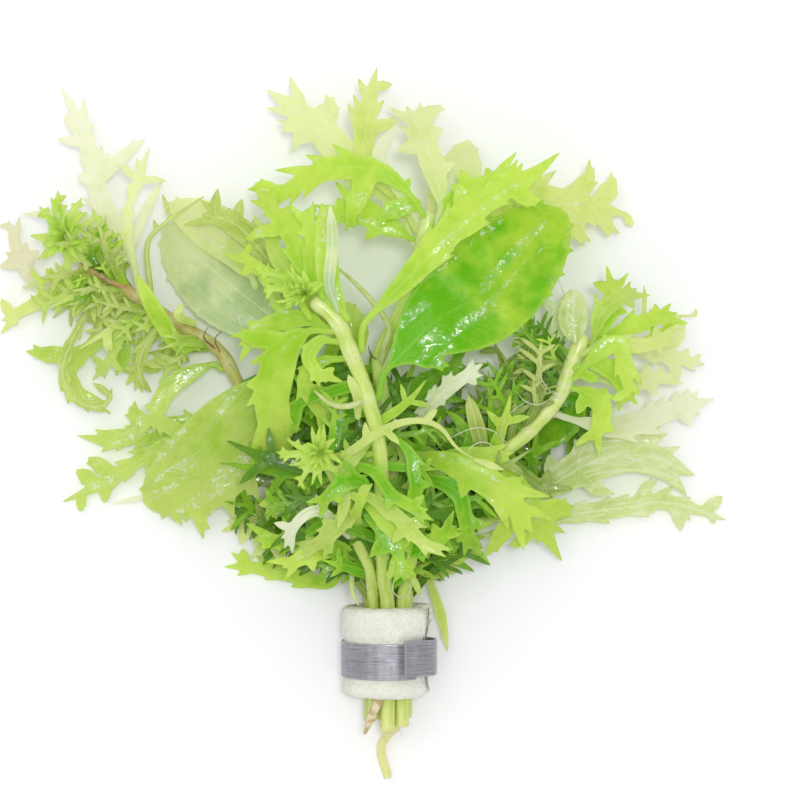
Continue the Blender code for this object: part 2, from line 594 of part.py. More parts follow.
def material(name, colour, roughness, metallic=0.0):
    """A plain Principled material."""
    made = bpy.data.materials.new(name)
    made.use_nodes = True
    shader = made.node_tree.nodes["Principled BSDF"]
    shader.inputs["Base Color"].default_value = (*colour, 1.0)
    shader.inputs["Roughness"].default_value = roughness
    shader.inputs["Metallic"].default_value = metallic
    return made


def link(name, data, look, collection):
    """A new object with its own material."""
    made = bpy.data.objects.new(name, data)
    data.materials.append(look)
    collection.objects.link(made)
    return made


def solidify(made, thickness):
    """Gives an open surface its thickness, half to each side."""
    shell = made.modifiers.new("thickness", "SOLIDIFY")
    shell.thickness = thickness * MM
    shell.offset = 0.0


def make_stem(stem, look, collection):
    """A stem as a tube along its middle line, swollen a little where leaves grow from it."""
    curve = bpy.data.curves.new(stem.name, "CURVE")
    curve.dimensions = "3D"
    curve.bevel_depth = stem.radius * MM
    curve.bevel_resolution = 2
    curve.use_fill_caps = True
    line = smooth_line(stem.points, STEM_STEPS)
    spline = curve.splines.new("POLY")
    spline.points.add(len(line) - 1)
    for index, (point, spot) in enumerate(zip(spline.points, line)):
        point.co = (*(spot * MM), 1.0)
        free = spot[1] > FOAM_TOP + 6
        point.radius = 1.0 + (NODE_SWELLING if free and index % 3 == 0 else 0.0)
        if spot[1] < TAIL_START:
            point.radius = TAIL_THINNING
    link(stem.name, curve, look, collection)


def make_sheet(sheet, look, collection):
    """A leaf as an open surface over its outline, given its thickness."""
    count = len(sheet.outline)
    points = [tuple(map(float, p)) for p in sheet.outline]
    inner = [tuple(map(float, p)) for p in sheet.spine]
    clear = inside_or_near(np.array(inner), sheet.outline, 0.0)
    inner = [p for p, keep in zip(inner, clear) if keep]
    verts, _, faces, _, _, origins = delaunay_2d_cdt(points + inner, [], [list(range(count))], 1, 1e-4, True)
    plan = np.array([tuple(v) for v in verts])
    heights = sheet.height(plan)
    mesh = bmesh.new()
    made = [mesh.verts.new((x * MM, y * MM, z * MM)) for (x, y), z in zip(plan, heights)]
    for face, origin in zip(faces, origins):
        if origin:
            mesh.faces.new([made[i] for i in face])
    loose = [v for v in mesh.verts if not v.link_faces]
    bmesh.ops.delete(mesh, geom=loose, context="VERTS")
    bmesh.ops.recalc_face_normals(mesh, faces=mesh.faces)
    data = bpy.data.meshes.new(sheet.name)
    mesh.to_mesh(data)
    mesh.free()
    data.shade_smooth()
    solidify(link(sheet.name, data, look, collection), LEAF_THICKNESS)


def make_strip(name, rows, thickness, look, collection):
    """A bent strip from rows of points along its length, given its thickness."""
    mesh = bmesh.new()
    grid = [[mesh.verts.new(tuple(c * MM for c in point)) for point in row] for row in rows]
    for one, two in zip(grid, grid[1:]):
        for a, b, c, d in zip(one, one[1:], two[1:], two):
            mesh.faces.new([a, b, c, d])
    bmesh.ops.recalc_face_normals(mesh, faces=mesh.faces)
    data = bpy.data.meshes.new(name)
    mesh.to_mesh(data)
    mesh.free()
    data.shade_smooth()
    made = link(name, data, look, collection)
    solidify(made, thickness)
    made.modifiers["thickness"].use_even_offset = True
    return made


def make_foam(look, collection):
    """The foam strip rolled once round the stems, its outer end loose on the right."""
    levels = [FOAM_BOTTOM, -5.9, BAND_LEVEL - 6.3, BAND_LEVEL + 6.3, 11.8, FOAM_TOP]
    pinches = [0.0, 0.0, 1.0, 1.0, 0.0, 0.0]
    flaps = [1.3, 0.8, 0.0, 0.0, 0.8, 1.3]
    rows = []
    for turn in np.linspace(28, 338, 21):
        angle = math.radians(turn)
        loose = max(0.0, (turn - 300) / 38)
        row = []
        for level, pinch, flap in zip(levels, pinches, flaps):
            radius = FOAM_RADIUS - FOAM_PINCH * pinch + flap * loose**2
            row.append((radius * math.cos(angle), level, ROLL_HEIGHT + radius * math.sin(angle)))
        rows.append(row)
    return make_strip("foam_wrap", rows, FOAM_THICKNESS, look, collection)


def make_band(look, collection):
    """The soft metal strip bent once round the foam, flat underneath, its outer end flat on top."""
    section = []
    for turn in range(52, 249, 14):
        section.append((BAND_RADIUS, turn, 0.0))
    foot = math.degrees(math.atan2(BAND_FOOT / 2, BAND_RADIUS))
    for turn in (270 - foot, 270 + foot):
        section.append((math.hypot(BAND_RADIUS, BAND_FOOT / 2), turn, 0.0))
    for turn in range(298, 381, 13):
        share = (turn - 298) / 82
        section.append((BAND_RADIUS + BAND_LIFT * share, turn, BAND_SHIFT * share * 0.6))
    middles = []
    for radius, turn, shift in section:
        angle = math.radians(turn)
        middles.append((radius * math.cos(angle), ROLL_HEIGHT + radius * math.sin(angle), shift))
    middles += [(12.1, 21.4, BAND_SHIFT * 0.8), (4.7, 27.2, BAND_SHIFT)]
    rows = []
    for x, z, shift in middles:
        level = BAND_LEVEL + shift
        rows.append([(x, level + BAND_WIDTH * part, z) for part in (-0.5, 0.0, 0.5)])
    return make_strip("metal_strip", rows, BAND_THICKNESS, look, collection)


def main():
    for old in list(bpy.data.objects):
        bpy.data.objects.remove(old, do_unlink=True)
    collection = bpy.data.collections.new(COLLECTION)
    bpy.context.scene.collection.children.link(collection)
    make_foam(material("foam", (0.83, 0.86, 0.78), 0.95), collection)
    make_band(material("soft_metal", (0.28, 0.28, 0.34), 0.45, 1.0), collection)
    for stem in STEMS:
        make_stem(stem, material(stem.name, (0.62, 0.70, 0.30), 0.4), collection)
    for sheet in build_sheets():
        make_sheet(sheet, material(sheet.name, (0.45, 0.65, 0.12), 0.35), collection)
    to_origin = Matrix.Translation((0.0, -BAND_LEVEL * MM, 0.0))
    for made in collection.objects:
        made.data.transform(to_origin)


if __name__ == "__main__":
    main()
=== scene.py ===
"""Looks of a cut bunch of water wisteria: thin wet leaves, fleshy stems, a foam wrap and a metal strip.

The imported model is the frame. Each leaf is built again over its solid's own middle surface, with veins,
a cut margin and thin edges. Lengths in the tables and on the dataclasses are millimetres, and the tables
count +Y from BAND_LEVEL below the middle of the strip.
"""

import json
import logging
import math
from dataclasses import dataclass, field
from enum import Enum

import bpy
import numpy as np
from mathutils import Matrix, Vector
from mathutils.geometry import delaunay_2d_cdt

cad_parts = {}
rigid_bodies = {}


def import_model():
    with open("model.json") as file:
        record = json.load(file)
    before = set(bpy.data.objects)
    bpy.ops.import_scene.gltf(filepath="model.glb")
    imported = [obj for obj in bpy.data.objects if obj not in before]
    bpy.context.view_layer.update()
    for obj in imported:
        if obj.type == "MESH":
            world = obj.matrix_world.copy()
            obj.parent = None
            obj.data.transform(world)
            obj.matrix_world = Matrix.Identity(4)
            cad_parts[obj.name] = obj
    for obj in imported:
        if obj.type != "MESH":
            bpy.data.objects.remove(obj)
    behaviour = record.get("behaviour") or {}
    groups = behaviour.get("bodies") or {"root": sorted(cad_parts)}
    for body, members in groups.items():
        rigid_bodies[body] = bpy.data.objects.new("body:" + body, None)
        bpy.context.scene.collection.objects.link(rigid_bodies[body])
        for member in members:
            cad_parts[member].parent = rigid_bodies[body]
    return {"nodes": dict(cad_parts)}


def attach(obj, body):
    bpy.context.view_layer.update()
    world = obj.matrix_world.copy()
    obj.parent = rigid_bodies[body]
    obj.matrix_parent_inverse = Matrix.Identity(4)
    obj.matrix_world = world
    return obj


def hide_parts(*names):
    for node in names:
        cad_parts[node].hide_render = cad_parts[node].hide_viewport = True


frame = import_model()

MM = 0.001
BODY = "root"
LOG = logging.getLogger("wisteria")
FROND_KINDS = 9

# Roll of foam and its metal strip
ROLL_HEIGHT = 13.0
FOAM_BOTTOM = -7.6
FOAM_TOP = 17.6
BAND_LEVEL = 2.8
BAND_RADIUS = 12.7
BAND_WIDTH = 10.0

# Joins between stems and leaves
GAP = 0.3
NODE_SWELLING = 0.22
PETIOLE_HALF = 0.9
FLANK_ANGLE = 48.0
EDGE_DROOP = 0.008
INTO_STEM = 1.3
FLOOR_CLEARANCE = 0.12

# What a stem's "along" attribute holds for each millimetre
ALONG_SCALE = 0.05


class Signal:
    """A value socket of a shader or geometry tree, for use in Python expressions."""

    def __init__(self, tree: "Tree", socket: bpy.types.NodeSocket) -> None:
        """Args:
            tree: The tree that the socket belongs to.
            socket: The output socket.
        """
        self.tree = tree
        self.socket = socket

    def math(self, operation: str, *others: "Signal | float", swap: bool = False) -> "Signal":
        """Adds a Math node that starts with this value.

        Args:
            operation: The Math node's operation.
            others: The other values.
            swap: True to put the first of the others before this value.

        Returns:
            The result's socket.
        """
        values = [self, *others]
        if swap:
            values[0], values[1] = values[1], values[0]
        return self.tree.node("ShaderNodeMath", {"operation": operation}, dict(enumerate(values)))

    def __add__(self, other: "Signal | float") -> "Signal":
        """Sum."""
        return self.math("ADD", other)

    __radd__ = __add__

    def __mul__(self, other: "Signal | float") -> "Signal":
        """Product."""
        return self.math("MULTIPLY", other)

    __rmul__ = __mul__

    def __sub__(self, other: "Signal | float") -> "Signal":
        """Difference."""
        return self.math("SUBTRACT", other)

    def __rsub__(self, other: float) -> "Signal":
        """Difference from a number."""
        return self.math("SUBTRACT", other, swap=True)

    def __rtruediv__(self, other: float) -> "Signal":
        """Quotient of a number by this value."""
        return self.math("DIVIDE", other, swap=True)

    def __pow__(self, other: "Signal | float") -> "Signal":
        """Power."""
        return self.math("POWER", other)

    def sine(self) -> "Signal":
        """Sine of a value in radians."""
        return self.math("SINE")

    def between(self, low: float, high: float) -> "Signal":
        """A smooth rise from 0 at low to 1 at high, or a fall where low is the larger.

        Args:
            low: The value that gives 0.
            high: The value that gives 1.

        Returns:
            The risen value's socket.
        """
        settings = {"interpolation_type": "SMOOTHSTEP", "clamp": True}
        inputs = {"Value": self, "From Min": min(low, high), "From Max": max(low, high)}
        risen = self.tree.node("ShaderNodeMapRange", settings, inputs)
        return risen if low <= high else 1.0 - risen


class Tree:
    """A node tree under construction."""

    def __init__(self, tree: bpy.types.NodeTree) -> None:
        """Args:
            tree: The node tree, which is emptied.
        """
        self.tree = tree
        tree.nodes.clear()

    def node(self, kind: str, settings: dict | None = None, inputs: dict | None = None,
             output: int | str = 0) -> Signal:
        """Adds a node.

        Args:
            kind: The node's type.
            settings: Its properties, set before its sockets are.
            inputs: Values or signals by socket name or index.
            output: Which output to return.

        Returns:
            The output's signal.
        """
        made = self.tree.nodes.new(kind)
        for key, value in (settings or {}).items():
            setattr(made, key, value)
        for key, value in (inputs or {}).items():
            socket = made.inputs[key]
            if isinstance(value, Signal):
                self.tree.links.new(value.socket, socket)
            else:
                socket.default_value = value
        return Signal(self, made.outputs[output])

    def mix(self, factor: Signal | float, first: Signal | tuple, second: Signal | tuple) -> Signal:
        """Mixes two colours.

        Args:
            factor: 0 gives the first colour, 1 the second.
            first: A colour.
            second: Another colour.

        Returns:
            The mixed colour.
        """
        first, second = (value if isinstance(value, Signal) else (*value, 1.0) for value in (first, second))
        return self.node("ShaderNodeMix", {"data_type": "RGBA"}, {0: factor, 6: first, 7: second}, 2)


class Paint(Tree):
    """The node tree of one material."""

    def __init__(self, name: str) -> None:
        """Args:
            name: The material's name.
        """
        self.material = bpy.data.materials.new(name)
        self.material.use_nodes = True
        super().__init__(self.material.node_tree)
        self.place = self.node("ShaderNodeTexCoord", output="Object")

    def own(self, name: str, vector: bool = False) -> Signal:
        """Reads the piece's own attribute.

        Args:
            name: The attribute's name.
            vector: True to read it as a vector.

        Returns:
            The attribute's signal.
        """
        output = "Vector" if vector else "Fac"
        return self.node("ShaderNodeAttribute", {"attribute_name": name}, output=output)

    def noise(self, size: float, detail: float = 3.0, where: Signal | None = None,
              roughness: float = 0.55) -> Signal:
        """Noise over the surface.

        Args:
            size: The size of its blots, in millimetres.
            detail: How many finer layers it has.
            where: The coordinates, in metres; the object's if left out.
            roughness: How strong the finer layers are.

        Returns:
            The noise, from about 0.25 to 0.75.
        """
        inputs = {"Vector": where or self.place, "Scale": 1 / (size * MM), "Detail": detail,
                  "Roughness": roughness}
        return self.node("ShaderNodeTexNoise", {}, inputs)

    def cells(self, size: float, feature: str = "F1", where: Signal | None = None) -> Signal:
        """Distance pattern of scattered cells.

        Args:
            size: The cells' size in millimetres.
            feature: What the distance is taken to.
            where: The coordinates, in metres; the object's if left out.

        Returns:
            The distance, in cell sizes.
        """
        inputs = {"Vector": where or self.place, "Scale": 1 / (size * MM)}
        return self.node("ShaderNodeTexVoronoi", {"feature": feature}, inputs)

    def bump(self, height: Signal, depth: float, strength: float = 1.0,
             under: Signal | None = None) -> Signal:
        """A bump from a height.

        Args:
            height: The height pattern, from 0 to 1.
            depth: The depth of the pattern in millimetres.
            strength: How strongly it shows.
            under: A bump that this one lies on.

        Returns:
            The bumped normal.
        """
        inputs = {"Height": height, "Distance": depth * MM, "Strength": strength}
        if under is not None:
            inputs["Normal"] = under
        return self.node("ShaderNodeBump", {}, inputs)

    def tissue(self, through: float, colour: Signal, normal: Signal | None = None, **shell: object) -> Signal:
        """A surface that lets a part of the light through to its other side.

        Args:
            through: That part, from 0 to 1.
            colour: The colour of what it scatters.
            normal: Its bumped normal.
            shell: Inputs of the Principled node, with underscores for the spaces in their names.

        Returns:
            The shader.
        """
        bumped = {} if normal is None else {"Normal": normal}
        inputs = {key.replace("_", " "): value for key, value in shell.items()}
        outer = self.node("ShaderNodeBsdfPrincipled", {}, {"Base Color": colour, **inputs, **bumped})
        inner = self.node("ShaderNodeBsdfTranslucent", {}, {"Color": colour, **bumped})
        return self.node("ShaderNodeMixShader", {}, {0: through, 1: outer, 2: inner})

    def finish(self, surface: Signal) -> bpy.types.Material:
        """Connects the surface and returns the material.

        Args:
            surface: The shader.

        Returns:
            The finished material.
        """
        last = self.tree.nodes.new("ShaderNodeOutputMaterial")
        self.tree.links.new(surface.socket, last.inputs["Surface"])
        return self.material


@dataclass(frozen=True)
class LeafFinish:
    """The finish of a leaf: thin green tissue that lets light through, wet in patches, with white glints
    painted on the wet skin.

    Attributes:
        name: The material's name.
        slot: The record's material slot.
        deep: Its colour in the middle of the blade and towards the stem, partly its own deeper green and
            partly painted shade where leaves lie stacked near the stems.
        bright: Its colour between the deeper patches.
        rim: Its colour at the margin.
        vein: Its colour along the veins.
        under: Its colour on the lower face.
        through: How much of the light passes through, from 0 to 1.
        streaks: How strongly pale lines run along the blade.
        wet: How much of the blade is covered by a wet skin, glossy and with white glints painted on it.
        ribbing: How clearly the veins show.
        turn: The share of its length where the deep colour gives way to the bright one.
    """

    name: str
    slot: str
    deep: tuple
    bright: tuple
    rim: tuple
    vein: tuple
    under: tuple
    through: float = 0.5
    streaks: float = 0.0
    wet: float = 0.35
    ribbing: float = 0.4
    turn: float = 0.4

    def material(self) -> bpy.types.Material:
        """Builds the material.

        Returns:
            The finished material.
        """
        paint = Paint(self.name)
        rib, edge, below = (paint.own(name) for name in ("rib", "edge", "under"))
        flow, skin = (paint.own(name, vector=True) for name in ("flow", "skin"))
        drift = paint.noise(9.0, 2.0) - 0.5
        # Deeper towards the stem: partly the leaf's own tone and partly painted shade where leaves lie
        # stacked near the stems.
        outer = (paint.own("along") + drift * 1.8 - self.turn).between(-0.4, 0.4)
        colour = paint.mix(outer, self.deep, self.bright)
        colour = paint.mix(edge.between(1.3, 0.1) * 0.45, colour, self.rim)
        fibres = paint.noise(1.1, 2.0, flow, 0.5).between(0.46, 0.66)
        colour = paint.mix(fibres * (0.12 + self.streaks), colour, self.vein)
        mottle = paint.noise(1.6, 4.0).between(0.50, 0.70)
        colour = paint.mix(mottle * 0.30, colour, self.deep)
        net = paint.cells(1.5, "DISTANCE_TO_EDGE", skin).between(0.09, 0.02)
        colour = paint.mix(net * 0.10, colour, self.vein)
        colour = paint.mix(rib.between(0.34, 0.10) * self.ribbing, colour, self.vein)
        colour = paint.mix(edge.between(0.24, 0.04) * 0.45, colour, self.deep)
        colour = paint.mix(below * 0.85, colour, self.under)
        band = paint.noise(4.0, 1.0, flow).between(0.62 - 0.06 * self.wet, 0.68 - 0.06 * self.wet)
        film = band * (1.0 - below) * edge.between(0.4, 1.2)
        ripples = paint.noise(1.9, 2.0, skin, 0.5)
        # Painted highlights: thin white squiggles mixed into the colour over the wet skin, for the glints of
        # light on the water.
        curls = ((ripples - 0.5) * 17.0) ** 2.0
        painted_glints = curls.between(1.0, 0.0) * film * paint.noise(2.6, 1.0).between(0.48, 0.58)
        colour = paint.mix(painted_glints * 0.9, colour, (0.98, 0.99, 0.95))
        veined = paint.bump(rib.between(0.0, 0.9), 0.12, 0.5)
        rumpled = paint.bump(paint.noise(3.2, 2.0), 0.35, 0.45, veined)
        grained = paint.bump(paint.noise(0.5, 2.0), 0.04, 0.4, rumpled)
        dry = paint.tissue(self.through, colour, grained, Roughness=0.38, IOR=1.36)
        water = paint.node("ShaderNodeBsdfAnisotropic", {}, {
            "Color": (1.0, 1.0, 1.0, 1.0), "Roughness": 0.06,
            "Normal": paint.bump(ripples, 0.42, 1.0, rumpled)})
        return paint.finish(paint.node("ShaderNodeMixShader", {}, {0: film * 0.05, 1: dry, 2: water}))


class Leafage(Enum):
    """The finishes that a leaf can have."""

    BRIGHT = LeafFinish("leaf_bright", "leaf_bright", (0.50, 0.79, 0.035), (0.76, 0.92, 0.16),
                        (0.80, 0.93, 0.28), (0.78, 0.92, 0.30), (0.70, 0.86, 0.26), 0.55, 0.03, 0.8, 0.3)
    BROAD = LeafFinish("leaf_broad", "leaf_bright", (0.20, 0.62, 0.003), (0.60, 0.82, 0.07),
                       (0.76, 0.90, 0.20), (0.54, 0.82, 0.12), (0.60, 0.82, 0.18), 0.52, 0.02, 1.1,
                       0.28, 0.68)
    GREEN = LeafFinish("leaf_green", "leaf_green", (0.50, 0.74, 0.06), (0.72, 0.85, 0.22),
                       (0.82, 0.90, 0.36), (0.82, 0.91, 0.42), (0.72, 0.84, 0.34), 0.54, 0.05, 0.7, 0.35)
    # DARK is partly the leaves' own deep green and partly painted shade from the leaves above; the next,
    # deepest finish is painted shade for the lowest leaves in the middle of the bunch.
    DARK = LeafFinish("leaf_dark", "leaf_dark", (0.10, 0.34, 0.004), (0.22, 0.50, 0.012),
                      (0.36, 0.60, 0.04), (0.34, 0.58, 0.06), (0.38, 0.58, 0.12), 0.26, 0.0, 0.9, 0.3)
    DEEP = LeafFinish("leaf_deep_painted_shade", "leaf_dark", (0.035, 0.14, 0.002), (0.09, 0.25, 0.006),
                      (0.16, 0.36, 0.02), (0.18, 0.34, 0.03), (0.20, 0.34, 0.06), 0.16, 0.0, 0.6, 0.3)
    PALE = LeafFinish("leaf_pale", "leaf_pale", (0.80, 0.90, 0.36), (0.93, 0.97, 0.60),
                      (0.96, 0.98, 0.72), (0.97, 0.98, 0.80), (0.90, 0.94, 0.60), 0.60, 0.10, 0.4, 0.6)
    FADED = LeafFinish("leaf_faded", "leaf_pale", (0.88, 0.91, 0.60), (0.96, 0.97, 0.80),
                       (0.94, 0.96, 0.74), (0.98, 0.98, 0.88), (0.95, 0.96, 0.80), 0.60, 0.14, 0.2, 0.35)
    STRIPED = LeafFinish("leaf_striped", "leaf_pale", (0.60, 0.73, 0.24), (0.78, 0.86, 0.44),
                         (0.88, 0.92, 0.54), (0.95, 0.97, 0.80), (0.84, 0.90, 0.55), 0.52, 0.44, 0.4, 0.6)
    GREY = LeafFinish("leaf_grey", "leaf_pale", (0.60, 0.74, 0.42), (0.90, 0.95, 0.60),
                      (0.94, 0.97, 0.68), (0.96, 0.98, 0.84), (0.84, 0.91, 0.58), 0.56, 0.05, 0.7, 0.7, 0.55)
    SILVER = LeafFinish("leaf_underside", "leaf_underside", (0.66, 0.75, 0.38), (0.84, 0.89, 0.62),
                        (0.86, 0.90, 0.64), (0.94, 0.96, 0.84), (0.82, 0.88, 0.60), 0.34, 0.36, 0.5, 0.5)
    OLIVE = LeafFinish("leaf_olive", "leaf_dark", (0.46, 0.60, 0.08), (0.66, 0.77, 0.20),
                       (0.80, 0.87, 0.36), (0.88, 0.92, 0.52), (0.70, 0.79, 0.36), 0.50, 0.08, 0.4, 0.6)
    SHADED = LeafFinish("leaf_shaded", "leaf_dark", (0.22, 0.35, 0.03), (0.38, 0.52, 0.10),
                        (0.50, 0.62, 0.18), (0.60, 0.70, 0.28), (0.52, 0.62, 0.26), 0.38, 0.16, 0.5, 0.5)
    YELLOW = LeafFinish("leaf_yellow", "leaf_green", (0.66, 0.82, 0.14), (0.88, 0.94, 0.42),
                        (0.93, 0.96, 0.56), (0.93, 0.96, 0.60), (0.86, 0.90, 0.44), 0.58, 0.06, 0.5, 0.4)
    PINK = LeafFinish("leaf_pink", "leaf_pale", (0.76, 0.77, 0.46), (0.90, 0.88, 0.68),
                      (0.84, 0.88, 0.58), (0.94, 0.92, 0.80), (0.90, 0.89, 0.70), 0.56, 0.16, 0.2, 0.4)


@dataclass(frozen=True)
class Stem:
    """A stem: its radius and the points its middle line runs through, cut end first."""

    name: str
    radius: float
    points: list


class Form(Enum):
    """How a blade is cut: the share of its length where it starts, and how blunt its two ends are."""

    LOBED = (0.16, 0.95)
    SERRATE = (0.14, 0.78)
    OVATE = (0.12, 0.78)
    STRIP = (0.08, 0.75)
    FINE = (0.0, 1.0)


@dataclass(frozen=True)
class Leaf:
    """A leaf seen from above.

    Attributes:
        name: Its node in the frame, or its own name for one of the small leaves.
        stem: The stem it grows from.
        form: The way its blade is cut.
        path: Its midrib, from near the stem to the tip.
        half: The half width of its blade.
        look: Its finish.
        lobe_half: The half width of its lobes.
        lobes: The tips of its lobes, each with its own half width or not.
        side: 1 where it grows from the stem's upper flank, -1 from the lower, 0 halfway up.
        heights: For a small leaf, the heights that pull its middle and its tip.
        frill: How strongly its margin is waved.
        widest: The share of its blade where it is widest.
    """

    name: str
    stem: str
    form: Form
    path: list
    half: float
    look: Leafage
    lobe_half: float = 2.0
    lobes: list = field(default_factory=list)
    side: int = 0
    heights: tuple = (20, 10)
    frill: float = 1.0
    widest: float = 0.42


@dataclass(frozen=True)
class Rosette:
    """A shoot's tip: young leaves spread like a star from the end of a stem, to the tips given."""

    name: str
    stem: str
    centre: tuple
    rays: list
    look: Leafage
    inner: Leafage


STEMS = [
    Stem("stem_1", 2.1, [(0, -17, 18), (0, 16, 18), (-1, 26.5, 22), (-1.5, 39.5, 30), (-2, 61.5, 38),
                         (-5.5, 76.5, 42), (-10, 88.5, 44), (-14, 97, 45), (-20, 102, 45)]),
    Stem("stem_2", 2.0, [(0, -19, 13), (0, 16, 13), (1, 29, 17), (1.5, 41.5, 19), (0.5, 64, 24),
                         (-1, 75, 26), (-2.5, 85.5, 28), (0.5, 93, 30), (3.5, 99, 31), (8.5, 112.5, 32),
                         (11.5, 126.5, 32)]),
    Stem("stem_3", 2.0, [(4, -16, 16), (4, 16, 16), (7, 29, 19), (12.5, 39, 20), (21.5, 51.5, 22),
                         (31, 60, 24), (39, 66.5, 25), (47, 76, 26), (51.5, 87.5, 26), (54.5, 93, 26)]),
    Stem("stem_4", 1.8, [(-5, -15, 12), (-5, 16, 12), (-8, 28.5, 11), (-12, 38.5, 10), (-25, 52.5, 9),
                         (-37.5, 66.5, 9), (-42.5, 80.5, 9), (-48.5, 90, 10), (-58.5, 96, 12),
                         (-73.5, 106, 13), (-86.5, 113, 13)]),
    Stem("stem_5", 1.7, [(-4, -14, 16), (-4, 16, 16), (-5, 28, 22), (-8.5, 36.5, 26), (-13, 50.5, 32),
                         (-17, 59.5, 36)]),
    Stem("stem_6", 1.9, [(5, -14, 12), (5, 16, 12), (7, 26, 11), (14, 33, 10), (26, 40, 9), (43, 49, 8),
                         (60, 57.5, 8)]),
    Stem("stem_7", 1.8, [(-2, -15, 8.5), (-2, 16, 8.5), (-3.5, 25.5, 7), (-13.5, 33, 6), (-29, 47, 5.5),
                         (-42, 62.5, 6)]),
    Stem("stem_8", 1.8, [(0, -32.5, 1.8), (-2, -24, 3.2), (0.8, -18.5, 7.0), (2.2, -14, 8.5), (2.2, 16, 8.5),
                         (1.5, 26, 10), (-2, 47, 13), (-9, 69.5, 16), (-19, 83.5, 17), (-27, 94.5, 18),
                         (-35, 111, 19)]),
]

